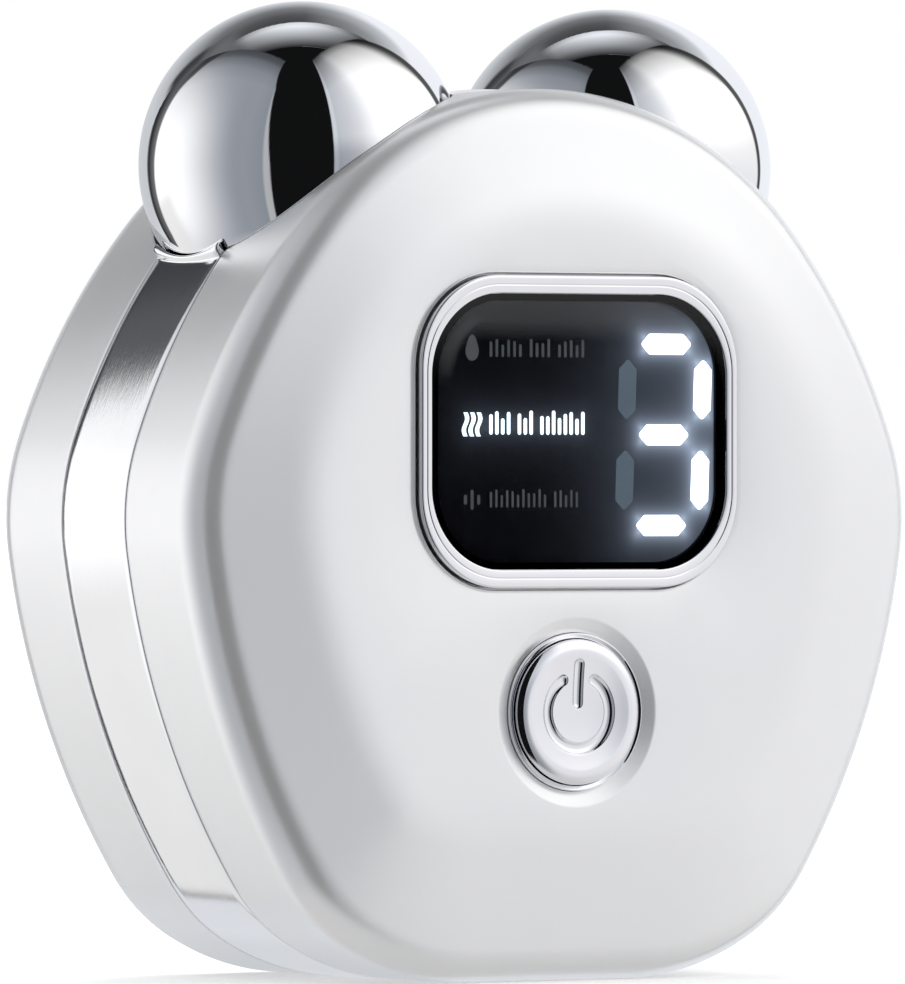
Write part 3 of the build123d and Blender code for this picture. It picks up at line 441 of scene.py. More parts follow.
def button_hole():
    """Dished edge, well, floor and stem hole for the button: circles from the plateau inwards."""
    share = np.linspace(0, 1, 16)
    slope = np.where(share < DIMPLE_EDGE, share ** 2 / (2 * DIMPLE_EDGE), share - DIMPLE_EDGE / 2)
    falls = PLATEAU_Y - (PLATEAU_Y - DIMPLE_Y) * slope / slope[-1]
    stations = [*zip(DIMPLE_R - (DIMPLE_R - WELL_R - WELL_BRIM) * share, falls),
                *((WELL_R + out, DIMPLE_Y - under) for out, under in WELL_EDGE),
                (WELL_R, WELL_FLOOR), (STEM_BORE, WELL_FLOOR), (STEM_BORE, FLOOR_BACK),
                (WELL_R + SKIRT, FLOOR_BACK), (WELL_R + SKIRT, PLATEAU_Y - WALL)]
    return np.array([at_depth(ring_loop(radius), y, BUTTON_Z) for radius, y in stations])


def front_shell(material):
    """Front shell: the housing form, with the display's recess and the button's well in its plateau."""
    points, _ = shell_surface(-1)
    display, button = display_hole(), button_hole()
    patches = [grid(rows, wrap_columns=True) for rows in (points, display, button)]
    patches += [fill(points[at], [display[hole], button[hole]]) for at, hole in ((-1, 0), (0, -1))]
    return new_piece("front_cover", patches, material, replaces=["front_shell"])


def slot_loop(width, height, side_steps=18, end_steps=15):
    """Loop (x, z) of a slot with round ends about the origin."""
    half, radius = (width - height) / 2, height / 2
    side = np.linspace(-half, half, side_steps, endpoint=False)
    angle = np.linspace(-np.pi / 2, np.pi / 2, end_steps, endpoint=False)
    low = np.stack([side, np.full(side_steps, -radius)], axis=1)
    right = np.stack([half + radius * np.cos(angle), radius * np.sin(angle)], axis=1)
    return np.vstack([low, right, -low, -right])


def bevel_y(z, depth):
    """Distance from the middle plane of the bevel below the plateau, at height z over the flat base."""
    slope = np.arctan2(PLATEAU_Y - RIDGE_Y, PLATEAU[0])
    edge = PLATEAU[0] - PLATEAU_ROUND * np.tan(slope / 2) * np.cos(slope)
    on_bevel = RIDGE_Y + z * np.tan(slope)
    centre_z = edge + PLATEAU_ROUND * np.sin(slope)
    on_round = PLATEAU_Y - PLATEAU_ROUND + np.sqrt(PLATEAU_ROUND ** 2 - (z - centre_z) ** 2)
    return np.where(z < edge, on_bevel, on_round) - depth / np.cos(slope)


def block_patches(points, rows, columns, hole):
    """Grid without one block of its faces, and triangles from the block's edge to a hole in it."""
    top, bottom, first, last = rows[0], rows[1], columns[0], columns[1]
    vertices, faces = grid(points, wrap_columns=True)
    count = points.shape[1]
    row, column = np.divmod(np.arange(len(faces)), count)
    gone = (row >= top) & (row < bottom) & (column >= first) & (column < last)
    rim = np.vstack([points[top, first:last], points[top:bottom, last], points[bottom, last:first:-1],
                     points[bottom:top:-1, first]])
    loose = points[top + 1:bottom, first + 1:last].reshape(-1, 3)
    centre = hole.mean(axis=0)
    reach = np.maximum(np.abs(loose[:, 0] - centre[0]) - SOCKET_MOUTH[0] / 2,
                       np.abs(loose[:, 2] - centre[2]) - SOCKET_MOUTH[1] / 2)
    return [(vertices, faces[~gone]), fill(rim, [hole], loose[reach > SOCKET_LOOSE])]


def rear_shell(material):
    """Rear shell: the mirrored form, with a mouth for the charging socket low in its bevel."""
    points, first_outside = shell_surface(1)
    outer, inner = points[first_outside:], points[:first_outside + 1]
    middle = points.shape[1] // 2
    columns = (middle - SOCKET_BLOCK, middle + SOCKET_BLOCK)
    outer_rows = [np.flatnonzero(outer[:, middle, 2] > edge)[0] for edge in SOCKET_REACH]
    inner_rows = [np.flatnonzero(inner[:, middle, 2] > edge)[-1] for edge in SOCKET_REACH[::-1]]
    sine, cosine = quarter(4)
    mouth = []
    for s, c in zip(1 - cosine[::-1], sine[::-1]):
        loop = slot_loop(SOCKET_MOUTH[0] + 2 * EASE * s, SOCKET_MOUTH[1] + 2 * EASE * s)
        z = loop[:, 1] + SOCKET_Z
        mouth.append(np.stack([loop[:, 0], bevel_y(z, 0.0) - EASE * (1 - c), z], axis=1))
    inside_mouth = mouth[-1].copy()
    inside_mouth[:, 1] = bevel_y(inside_mouth[:, 2], WALL)
    mouth = np.array(mouth + [inside_mouth])
    patches = [*block_patches(outer, outer_rows, columns, mouth[0]),
               *block_patches(inner, inner_rows, columns, mouth[-1]),
               grid(mouth, wrap_columns=True), fill(points[-1]), fill(points[0])]
    return new_piece("rear_cover", patches, material, replaces=["rear_shell"])


# ------------------------------------------------------------------ chromed middle band
def inset_loop(loop, amount):
    """Closed loop (x, z) moved inward along its own normals."""
    ahead = np.roll(loop, -1, axis=0) - np.roll(loop, 1, axis=0)
    ahead /= np.linalg.norm(ahead, axis=1, keepdims=True)
    return loop - amount * np.stack([ahead[:, 1], -ahead[:, 0]], axis=1)


def beside_ball(radius, height, y):
    """Point (x, z) beside the right ball: on a sphere of that radius about it, at a height over the
    outline measured along the sphere, in the slice at depth y."""
    reach = np.sqrt(np.asarray(radius) ** 2 - y ** 2)
    lengths, _ = pocket_ends(np.asarray(radius, float), y)
    on_line, _ = body_at(lengths)
    angle = np.arctan2(on_line[:, 1] - BALL_Z, on_line[:, 0] - BALL_X) + np.asarray(height) / reach
    return np.stack([BALL_X + reach * np.cos(angle), BALL_Z + reach * np.sin(angle)], axis=-1)


def band_half(y):
    """Outer and inner half lines (x, z) of the band in the slice at depth y, from the middle of the
    base up the right side to the crest of the lip that rises beside the ball."""
    near = POCKET_R + BAND_NEAR
    enters, _ = pocket_ends(np.array([near]), y)
    lengths = np.linspace(0, 1, BAND_STEPS) * enters[0]
    line, normal = body_at(lengths)
    thick, root = LIP_THICK + LIP_SPREAD * (y / PARTING_Y) ** 2, LIP_ROOT
    outer_r = POCKET_R + thick
    risen_to = LIP_RISE + LIP_ENDS * (y / PARTING_Y) ** 2
    run = np.linspace(near, outer_r + root, NEAR_STEPS)[1:]
    bend = np.linspace(0, np.pi / 2, 7)[1:]
    crest = np.linspace(0, np.pi / 2, 5)[1:-1]
    half = thick / 2
    outer_path = [(r, 0.0) for r in run]
    outer_path += [(outer_r + root - root * np.sin(a), root - root * np.cos(a)) for a in bend]
    outer_path += [(outer_r, h) for h in np.linspace(root, risen_to - half, 4)[1:]]
    outer_path += [(outer_r - half + half * np.cos(a), risen_to - half + half * np.sin(a))
                   for a in crest]
    risen = len(outer_path) - len(run) - len(crest)
    inner_path = [(r, -BAND_WALL) for r in np.linspace(near, POCKET_R, NEAR_STEPS)[1:]]
    inner_path += [(POCKET_R, h) for h in np.linspace(-BAND_WALL, risen_to - half, risen + 1)[1:]]
    inner_path += [(POCKET_R + half - half * np.cos(a), risen_to - half + half * np.sin(a))
                   for a in crest]
    outer = np.vstack([line, [beside_ball([r], [h], y)[0] for r, h in outer_path]])
    inner = np.vstack([line - BAND_WALL * normal, [beside_ball([r], [h], y)[0] for r, h in inner_path]])
    return outer, inner


def strip_piece(name, halves, material, replaces):
    """Closed strip between the shells from its half lines in each slice, mirrored about X = 0. Its
    edges along both shells are rounded, and faces between outer and inner lines close them."""
    sine, cosine = quarter(4)
    rounds = [(PARTING_Y - EASE * (1 - c), EASE * (1 - s)) for s, c in zip(cosine, sine)]
    between_rounds = np.linspace(-PARTING_Y + EASE, PARTING_Y - EASE, 15)[1:-1]
    slices = [(-y, cut) for y, cut in rounds] + [(y, 0.0) for y in between_rounds] + rounds[::-1]
    rows, caps = [], []
    for y, cut in slices:
        outer, inner = (np.vstack([half[:0:-1] * (-1, 1), half]) for half in halves(abs(y)))
        loop = inset_loop(np.vstack([outer, inner[::-1]]), cut + BAND_CROWN * (y / PARTING_Y) ** 4)
        stood = np.stack([loop[:, 0], np.full(len(loop), y), loop[:, 1]], axis=1)
        rows.append(stood)
        caps.append(np.stack([stood[:len(outer)], stood[:len(outer) - 1:-1]]))
    patches = [grid(np.array(rows), wrap_columns=True), grid(caps[0]), grid(caps[-1])]
    return new_piece(name, patches, material, replaces=replaces)


def bridge_half(y):
    """Outer and inner half lines (x, z) of the short piece between the balls, at depth y."""
    _, leaves = pocket_ends(np.array([POCKET_R]), y)
    lengths = np.linspace(BODY_ENDS[-1], leaves[0], 16)
    line, normal = body_at(lengths)
    return line, line - BAND_WALL * normal


# ------------------------------------------------------------------ turned pieces
def turned(profile, origin, axis, steps):
    """Surface of revolution: every (radius, along) of a closed profile, carried round an axis that
    lies across Y."""
    axis = np.array(axis) / np.linalg.norm(axis)
    across = np.array((0.0, 1.0, 0.0))
    third = np.cross(axis, across)
    angle = np.linspace(0, 2 * np.pi, steps, endpoint=False)
    spokes = np.cos(angle)[:, None] * across + np.sin(angle)[:, None] * third
    profile = np.array(profile)
    return profile[:, None, :1] * spokes + profile[:, None, 1:] * axis + np.array(origin)


def roller_ball(name, side, material):
    """Hollow ball, turned about its shaft's axis: outer sphere down to the bore's rounded edge, then
    the inner sphere back to the top."""
    inner_r, ease = BALL_R - BALL_WALL, BORE_ROUND
    outer_angle = np.linspace(0, np.pi - np.arcsin((BORE_R + ease) / BALL_R), BALL_ROWS)
    inner_angle = np.linspace(np.pi - np.arcsin(BORE_R / inner_r), 0, BALL_INNER_ROWS)
    profile = [(BALL_R * np.sin(a), BALL_R * np.cos(a)) for a in outer_angle]
    foot = profile[-1][1]
    profile += [(BORE_R + ease * (1 - np.sin(a)), foot + ease * (1 - np.cos(a)))
                for a in (0.5, 1.0, np.pi / 2)]
    profile += [(inner_r * np.sin(a), inner_r * np.cos(a)) for a in inner_angle]
    profile[0], profile[-1] = (0.0, BALL_R), (0.0, inner_r)
    tilt = np.radians(SHAFT_TILT)
    axis = (side * np.sin(tilt), 0, np.cos(tilt))
    surface = turned(profile, (side * BALL_X, 0, BALL_Z), axis, BALL_COLUMNS)
    word = "left" if side < 0 else "right"
    return new_piece(name, [grid(surface, wrap_columns=True)], material, f"ball_{word}",
                     [f"roller_ball_{word}"])


# ------------------------------------------------------------------ display
def display_bezel(material):
    """Chromed frame: a round-cornered loop carried through the stations of its section, from the back
    up the outer wall, over a broad bead, a fine groove and an inner slope, to the window's ledge."""
    stations = [(0.0, BEZEL_BACK), (0.0, PLATEAU_Y)]
    stations += [(share, BEZEL_CREST - fall) for share, fall in BEZEL_SECTION]
    sizes = [([outer + share * (inner - outer) for outer, inner in zip(BEZEL, WINDOW)], y)
             for share, y in stations]
    sizes += [(WINDOW, LEDGE_Y), (LEDGE, LEDGE_Y), (LEDGE, BEZEL_BACK)]
    loops = [at_depth(round_rectangle(*size, *BEZEL_STEPS), y, DISPLAY_Z) for size, y in sizes]
    patches = [grid(np.array(loops), wrap_rows=True, wrap_columns=True)]
    return new_piece("bezel_frame", patches, material, replaces=["display_bezel"],
                     sharp=60)


def plate(name, size, face, back, roll, drop, material, node):
    """Round-cornered plate whose face rolls down towards its edge: the drop grows as the square of
    the way from the flat middle to the edge."""
    gap = PLATE_GAP
    insets = [(roll + PLATE_FLAT, 0.0)]
    insets += [(roll * (1 - share), drop * share ** 2) for share in np.linspace(0, 1, 16)]
    loops = []
    for inset, fall in insets:
        width, height = (length - 2 * gap - 2 * inset for length in size[:2])
        corner = max(size[2] - gap - inset, PLATE_CORNER)
        loop = round_rectangle(width, height, corner, *PLATE_STEPS)
        loops.append(at_depth(loop, face - fall, DISPLAY_Z))
    edge = [size[0] - 2 * gap, size[1] - 2 * gap, size[2] - gap]
    for y in (*(face - drop - fall for fall in PLATE_EDGE), back):
        loops.append(at_depth(round_rectangle(*edge, *PLATE_STEPS), y, DISPLAY_Z))
    patches = [grid(np.array(loops), wrap_columns=True), fill(loops[0]), fill(loops[-1])]
    return new_piece(name, patches, material, replaces=[node])


def rounded_corners(corners, radius, steps=4):
    """Loop (x, z) of a convex polygon, anticlockwise, with each corner rounded by an arc."""
    corners = np.array(corners, float)
    loop = []
    for before, corner, after in zip(np.roll(corners, 1, axis=0), corners, np.roll(corners, -1, axis=0)):
        ahead, back = after - corner, before - corner
        ahead, back = ahead / np.linalg.norm(ahead), back / np.linalg.norm(back)
        half = np.arccos(np.clip(ahead @ back, -1, 1)) / 2
        middle = corner + (ahead + back) / np.linalg.norm(ahead + back) * radius / np.sin(half)
        start = corner + back * radius / np.tan(half) - middle
        turn = np.pi - 2 * half
        for angle in np.linspace(0, turn, steps):
            cosine, sine = np.cos(angle), np.sin(angle)
            loop.append(middle + (cosine * start[0] - sine * start[1],
                                  sine * start[0] + cosine * start[1]))
    return np.array(loop)


def segment_loop(long, wide, upright):
    """Bar of the digit about the origin: a slim hexagon with softened corners."""
    half, side = long / 2, wide / 2
    low = [(-half, 0), (-half + side, -side), (half - side, -side)]
    loop = rounded_corners(low + [(-x, -z) for x, z in low], SEGMENT_CORNER)
    turn = np.radians(90 - DIGIT_LEAN if upright else 0)
    return loop @ np.array(((np.cos(turn), np.sin(turn)), (-np.sin(turn), np.cos(turn))))


def guide(loop):
    """Patches of one light guide: a loop (x, z) carried from the back of the guide to its face."""
    front, back = at_depth(loop, MODULE_FACE + PROUD), at_depth(loop, GUIDE_BACK)
    return [grid(np.array([back, front]), wrap_columns=True), fill(front), fill(back)]


def digit_places(lit):
    """Centres and directions of the digit's bars that are lit, or of those that aren't."""
    if lit:
        places = [(0, z, False) for z in (DIGIT_HALF_H, 0, -DIGIT_HALF_H)]
        places += [(DIGIT_HALF_W, z, True) for z in (DIGIT_HALF_H / 2, -DIGIT_HALF_H / 2)]
    else:
        places = [(-DIGIT_HALF_W, z, True) for z in (DIGIT_HALF_H / 2, -DIGIT_HALF_H / 2)]
    lean = np.tan(np.radians(DIGIT_LEAN))
    return [(DIGIT_X + x + lean * z, DIGIT_Z + z, upright) for x, z, upright in places]


def digit(name, lit, material, node):
    """The lit or the dark bars of the digit."""
    patches = []
    for x, z, upright in digit_places(lit):
        patches += guide(segment_loop(SEGMENT_LONG, SEGMENT_WIDE, upright) + (x, z))
    return new_piece(name, patches, material, replaces=[node])


def mark(x, z, wide, high):
    """Loop (x, z) of an upright mark with round ends."""
    return slot_loop(high, wide, 6, 6)[:, ::-1] * (1, -1) + (x, z)


def mode_icon(row, z):
    """Loops of a row's sign: a drop for cleaning, whose radius grows towards its point as a power of
    the sine; three waves for warmth, each a band beside one turn of a sine; a pulse for vibration."""
    if row == 0:
        angle = np.linspace(0, 2 * np.pi, 28, endpoint=False)
        radius = DROP_R + DROP_POINT * np.maximum(np.sin(angle), 0) ** 6
        return [radius[:, None] * ring_loop(1.0, 28) * DROP_SHAPE + (MODE_ICON_X, z - DROP_LOW)]
    if row == 1:
        way = np.linspace(-1, 1, 12)
        middle = np.stack([WAVE_SWAY * np.sin(way * np.pi), way * WAVE_HIGH], axis=1)
        wave = np.vstack([middle + (WAVE_HALF, 0), middle[::-1] - (WAVE_HALF, 0)])
        return [wave + (MODE_ICON_X + x, z) for x in ICON_ACROSS]
    return [mark(MODE_ICON_X + x, z, PULSE_WIDE, high) for x, high in zip(ICON_ACROSS, PULSE_HIGH)]


def mode_rows(name, rows, material, node=()):
    """Signs of the working modes, each with groups of upright marks beside it; the rows are numbered
    from the top. A mark's height follows its number in the row by a sine."""
    patches = []
    for row in rows:
        z = DISPLAY_Z + MODE_RAISED + (1 - row) * MODE_STEP
        x, number = MODE_START, 0
        for loop in mode_icon(row, z):
            patches += guide(loop)
        for count in MODE_MARKS[row]:
            for _ in range(count):
                high = MODE_HIGH[row] * (1 + MODE_SWAY[0] * np.sin(MODE_SWAY[1] * number))
                patches += guide(mark(x, z - MODE_HIGH[row] / 2 + high / 2, MODE_WIDE[row], high))
                x, number = x + MODE_PITCH[row], number + 1
            x += MODE_GAP
    return new_piece(name, patches, material, replaces=node)


# ------------------------------------------------------------------ power button
def dish_y(radius):
    """Distance from the middle plane of the cap's dished face at a radius from its centre."""
    return CAP_FACE - DISH_DEPTH + DISH_R - np.sqrt(DISH_R ** 2 - radius ** 2)


def stroke_loop(line, half):
    """Closed loop at a distance half from an open centre line, with round ends."""
    ahead = np.gradient(line, axis=0)
    ahead /= np.linalg.norm(ahead, axis=1, keepdims=True)
    left = np.stack([-ahead[:, 1], ahead[:, 0]], axis=1)
    ends = []
    angle = -np.linspace(0, np.pi, 12)[1:-1, None]
    for point, direction in ((line[-1], left[-1]), (line[0], -left[0])):
        across = np.array((-direction[1], direction[0]))
        ends.append(point + half * (np.cos(angle) * direction + np.sin(angle) * across))
    return np.vstack([line + half * left, ends[0], (line - half * left)[::-1], ends[1]])


def symbol_lines():
    """Centre lines of the symbol: an open ring and an upright bar, about the button's centre."""
    angle = np.radians(np.linspace(90 + SYMBOL_OPEN, 450 - SYMBOL_OPEN, 90))
    ring = SYMBOL_LINE_R * np.stack([np.cos(angle), np.sin(angle)], axis=1)
    bar = np.stack([np.zeros(16), np.linspace(BAR_LOW, BAR_HIGH, 16)], axis=1)
    return ring, bar


def power_button(material):
    """Cap and stem of the button. The dished face is filled round the symbol's two footprints, and
    each stroke sinks from its footprint as a groove that closes on its centre line."""
    patches, footprints = [], []
    for line in symbol_lines():
        rows = []
        for share, sunk in SYMBOL_SECTION:
            loop = stroke_loop(line, SYMBOL_HALF * (1 - share))
            face = dish_y(np.linalg.norm(loop, axis=1))
            rows.append(at_depth(loop, face - SYMBOL_DEPTH * sunk, BUTTON_Z))
        footprints.append(rows[0])
        patches.append(grid(np.array(rows), wrap_columns=True))
    radii = np.arange(FACE_FIRST, CAP_RIM_R - FACE_CLEAR, FACE_STEP)
    loose = np.vstack([ring_loop(radius, int(radius * FACE_POINTS) + FACE_LEAST) for radius in radii])
    loose = at_depth(loose, dish_y(np.linalg.norm(loose, axis=1)), BUTTON_Z)
    for footprint in footprints:
        gap = np.linalg.norm(loose[:, None, [0, 2]] - footprint[None, :, [0, 2]], axis=-1).min(axis=1)
        loose = loose[(gap > FACE_CLEAR) & ~inside(loose[:, [0, 2]], footprint[:, [0, 2]])]
    rim = at_depth(ring_loop(CAP_RIM_R), dish_y(CAP_RIM_R), BUTTON_Z)
    patches.append(fill(rim, footprints, loose))
    tilt = np.arcsin(CAP_RIM_R / DISH_R)
    centre_y = dish_y(CAP_RIM_R) - CAP_ROUND * np.cos(tilt)
    centre_r = CAP_RIM_R + CAP_ROUND * np.sin(tilt)
    angle = np.linspace(-tilt, np.radians(CAP_RIM_TURN), 26)
    edge = [(min(centre_r + CAP_ROUND * np.sin(a), CAP_R), centre_y + CAP_ROUND * np.cos(a))
            for a in angle]
    low, high = CLIP_GROOVE
    profile = [*edge, (CAP_R, edge[-1][1] - CAP_EDGE), (CAP_R, CAP_BACK), (STEM_R, CAP_BACK),
               (STEM_R, high), (CLIP_GROOVE_R, high), (CLIP_GROOVE_R, low), (STEM_R, low),
               (STEM_R, STEM_END), (0.0, STEM_END)]
    rows = [at_depth(ring_loop(radius), y, BUTTON_Z) for radius, y in profile]
    patches.append(grid(np.array(rows), wrap_columns=True))
    return new_piece("button_cap", patches, material, "button", ["power_button"],
                     sharp=50)


def button_ring(material):
    """Thin chromed ring in the well: its face falls towards its bore between two small roundings."""
    outer, ease_r = WELL_R - RING_GAP, RING_ROUND
    sine, cosine = quarter(5)
    rounding = [(ease_r * (1 - c), RING_FACE - ease_r * (1 - s)) for s, c in zip(sine, cosine)]
    profile = [(outer, WELL_FLOOR)] + [(outer - inset, y) for inset, y in rounding[::-1]]
    profile += [((outer + RING_BORE) / 2, RING_FACE - RING_FALL / 2)]
    profile += [(RING_BORE + inset, y - RING_FALL) for inset, y in rounding] + [(RING_BORE, WELL_FLOOR)]
    rows = np.array([at_depth(ring_loop(radius), y, BUTTON_Z) for radius, y in profile])
    return new_piece("button_trim", [grid(rows, wrap_rows=True, wrap_columns=True)], material,
                     replaces=["button_ring"])


# ------------------------------------------------------------------ shader groups
def new_group(name, inputs, outputs):
    """Empty shader group with named inputs (name, kind, default) and outputs (name, kind)."""
    group = bpy.data.node_groups.new(name, "ShaderNodeTree")
    for label, kind, default in inputs:
        socket = group.interface.new_socket(label, in_out="INPUT", socket_type=kind)
        if default is not None:
            socket.default_value = default
    for label, kind in outputs:
        group.interface.new_socket(label, in_out="OUTPUT", socket_type=kind)
    return group, group.nodes.new("NodeGroupInput"), group.nodes.new("NodeGroupOutput")


def math_node(tree, operation, first, second=None, third=None):
    """Math node; each operand is a number or a socket."""
    node = tree.nodes.new("ShaderNodeMath")
    node.operation = operation
    for socket, value in zip(node.inputs, (first, second, third)):
        if value is None:
            continue
        if isinstance(value, (int, float)):
            socket.default_value = value
        else:
            tree.links.new(value, socket)
    return node.outputs[0]


def vector_node(tree, operation, first, second=None):
    """Vector Math node; the second operand is a constant or a socket."""
    node = tree.nodes.new("ShaderNodeVectorMath")
    node.operation = operation
    tree.links.new(first, node.inputs[0])
    if isinstance(second, tuple):
        node.inputs[1].default_value = second
    elif second is not None:
        tree.links.new(second, node.inputs[1])
    return node.outputs["Value" if operation == "LENGTH" else "Vector"]


def noise_node(tree, vector, scale, detail=3.0, roughness=0.55):
    """Noise texture's value; scale is a number or a socket."""
    node = tree.nodes.new("ShaderNodeTexNoise")
    tree.links.new(vector, node.inputs["Vector"])
    if isinstance(scale, (int, float)):
        node.inputs["Scale"].default_value = scale
    else:
        tree.links.new(scale, node.inputs["Scale"])
    node.inputs["Detail"].default_value = detail
    node.inputs["Roughness"].default_value = roughness
    return node.outputs["Fac"]


def map_node(tree, value, from_low, from_high, to_low, to_high):
    """Value moved from one range to another and held within it; each end is a number or a socket."""
    node = tree.nodes.new("ShaderNodeMapRange")
    tree.links.new(value, node.inputs["Value"])
    names = ("From Min", "From Max", "To Min", "To Max")
    for label, end in zip(names, (from_low, from_high, to_low, to_high)):
        if isinstance(end, (int, float)):
            node.inputs[label].default_value = end
        else:
            tree.links.new(end, node.inputs[label])
    return node.outputs["Result"]


def make_mottle():
    """Soft blotches: noise at a scale, spread between a low and a high value."""
    group, given, result = new_group(
        "soft_mottle",
        [("Vector", "NodeSocketVector", None), ("Scale", "NodeSocketFloat", 300.0),
         ("Low", "NodeSocketFloat", 0.0), ("High", "NodeSocketFloat", 1.0)],
        [("Value", "NodeSocketFloat")])
    noise = noise_node(group, given.outputs["Vector"], given.outputs["Scale"])
    value = map_node(group, noise, 0.3, 0.7, given.outputs["Low"], given.outputs["High"])
    group.links.new(value, result.inputs["Value"])
    return group


def make_grain():
    """Moulded grain: fine bumps over broad, faint waves, as a height."""
    group, given, result = new_group(
        "moulded_grain",
        [("Vector", "NodeSocketVector", None), ("Fine Scale", "NodeSocketFloat", 4000.0),
         ("Wave Scale", "NodeSocketFloat", 90.0), ("Wave Share", "NodeSocketFloat", 0.5)],
        [("Height", "NodeSocketFloat")])
    fine = noise_node(group, given.outputs["Vector"], given.outputs["Fine Scale"], 2.0)
    wave = noise_node(group, given.outputs["Vector"], given.outputs["Wave Scale"], 1.0)
    share = given.outputs["Wave Share"]
    rest = math_node(group, "SUBTRACT", 1.0, share)
    height = math_node(group, "MULTIPLY_ADD", wave, share, math_node(group, "MULTIPLY", fine, rest))
    group.links.new(height, result.inputs["Height"])
    return group


def make_hairlines():
    """Fine lines along one axis: noise stretched by a mapping of the coordinates."""
    group, given, result = new_group(
        "hairlines",
        [("Vector", "NodeSocketVector", None), ("Stretch", "NodeSocketVector", (1.0, 1.0, 1.0)),
         ("Low", "NodeSocketFloat", 0.0), ("High", "NodeSocketFloat", 1.0)],
        [("Value", "NodeSocketFloat")])
    product = vector_node(group, "MULTIPLY", given.outputs["Vector"], given.outputs["Stretch"])
    noise = noise_node(group, product, 1.0, 4.0, 0.65)
    value = map_node(group, noise, 0.25, 0.75, given.outputs["Low"], given.outputs["High"])
    group.links.new(value, result.inputs["Value"])
    return group


def past_half_size(group, given):
    """How far a point is past a box's sides, along each axis: |point - centre| - half size."""
    from_centre = vector_node(group, "SUBTRACT", given.outputs["Vector"], given.outputs["Centre"])
    away = vector_node(group, "ABSOLUTE", from_centre)
    return vector_node(group, "SUBTRACT", away, given.outputs["Half Size"])


def make_glow():
    """Halo round one lit bar on the display's face: how far a point is from a box in X and Z, as
    a bright near glow that fades fast and a faint one that reaches further."""
    group, given, result = new_group(
        "bar_glow",
        [("Vector", "NodeSocketVector", None), ("Centre", "NodeSocketVector", (0.0, 0.0, 0.0)),
         ("Half Size", "NodeSocketVector", (0.001, 0.0, 0.001)), ("Near", "NodeSocketFloat", 0.0006),
         ("Far", "NodeSocketFloat", 0.003), ("Far Share", "NodeSocketFloat", 0.12)],
        [("Value", "NodeSocketFloat")])
    vector = past_half_size(group, given)
    for operation, other in (("MAXIMUM", (0.0, 0.0, 0.0)), ("MULTIPLY", (1.0, 0.0, 1.0))):
        vector = vector_node(group, operation, vector, other)
    distance = vector_node(group, "LENGTH", vector)
    glows = []
    for reach in ("Near", "Far"):
        share = math_node(group, "DIVIDE", distance, given.outputs[reach])
        glows.append(math_node(group, "EXPONENT", math_node(group, "MULTIPLY", share, -1.0)))
    total = math_node(group, "MULTIPLY_ADD", glows[1], given.outputs["Far Share"], glows[0])
    group.links.new(total, result.inputs["Value"])
    return group


def make_round_box():
    """Distance out of a round-cornered rectangle in X and Z; inside it the distance is negative."""
    group, given, result = new_group(
        "round_box_distance",
        [("Vector", "NodeSocketVector", None), ("Centre", "NodeSocketVector", (0.0, 0.0, 0.0)),
         ("Half Size", "NodeSocketVector", (0.01, 0.0, 0.01)), ("Corner", "NodeSocketFloat", 0.001)],
        [("Distance", "NodeSocketFloat")])
    split = group.nodes.new("ShaderNodeSeparateXYZ")
    group.links.new(past_half_size(group, given), split.inputs[0])
    corner = given.outputs["Corner"]
    out_x = math_node(group, "ADD", split.outputs["X"], corner)
    out_z = math_node(group, "ADD", split.outputs["Z"], corner)
    past_x, past_z = math_node(group, "MAXIMUM", out_x, 0.0), math_node(group, "MAXIMUM", out_z, 0.0)
    square = math_node(group, "MULTIPLY", past_z, past_z)
    square = math_node(group, "MULTIPLY_ADD", past_x, past_x, square)
    outside = math_node(group, "SQRT", square)
    within = math_node(group, "MINIMUM", math_node(group, "MAXIMUM", out_x, out_z), 0.0)
    total = math_node(group, "SUBTRACT", math_node(group, "ADD", outside, within), corner)
    group.links.new(total, result.inputs["Distance"])
    return group


MOTTLE, GRAIN, HAIRLINES, GLOW = make_mottle(), make_grain(), make_hairlines(), make_glow()
ROUND_BOX = make_round_box()


# ------------------------------------------------------------------ materials
HAZE_SHADE, MILKY_SHADE = 0.97, 0.92  # darker patches of handled chrome and of the light guides
LINE_STRETCH, LINE_HEIGHT = 1.4, 1.4  # brushed lines in the bump: fineness and height
HALO_COLOUR, HALO_IN = (0.38, 0.45, 0.56), 0.25  # a bar's halo starts this far inside its edge
LIT_ROW_X, LIT_ROW_HALF, LIT_ROW_SHARE = -4.0, (4.6, 0.35), 0.12  # halo of the lit row
SHEEN_RISE, SHEEN_LEVELS = (1.0, 0.5), (0.06, 0.27)  # the painted sheen grows from the middle to the top edge
SHEEN_SOFT = (-0.9, 0.6)  # where the painted sheen fades in, along its outline's distance
# painted reflection streak in the window's upper-left corner: where it starts and is full along Z minus
# X, its level, its softness
REFLECTION_STREAK_START, REFLECTION_STREAK_FULL, REFLECTION_STREAK_LEVEL, REFLECTION_STREAK_SOFT = 14.5, 17.0, 0.42, (0.1, 0.55)
BORDER_SOFT = 0.06


def place_group(tree, group, vector, **values):
    """Group node on a vector, its inputs set by name (spaces written as underscores)."""
    node = tree.nodes.new("ShaderNodeGroup")
    node.node_tree = group
    tree.links.new(vector, node.inputs["Vector"])
    for label, value in values.items():
        node.inputs[label.replace("_", " ")].default_value = value
    return node.outputs[0]


def new_material(name, **constants):
    """Material with one Principled shader whose sockets are set directly, and its coordinates."""
    material = bpy.data.materials.new(name)
    material.use_nodes = True
    tree = material.node_tree
    shader = tree.nodes["Principled BSDF"]
    for label, value in constants.items():
        shader.inputs[label.replace("_", " ")].default_value = value
    coordinates = tree.nodes.new("ShaderNodeTexCoord").outputs["Object"]
    return material, tree, shader, coordinates


def feed(tree, shader, **sockets):
    """Link values to the shader's inputs by name (spaces written as underscores)."""
    for label, value in sockets.items():
        tree.links.new(value, shader.inputs[label.replace("_", " ")])


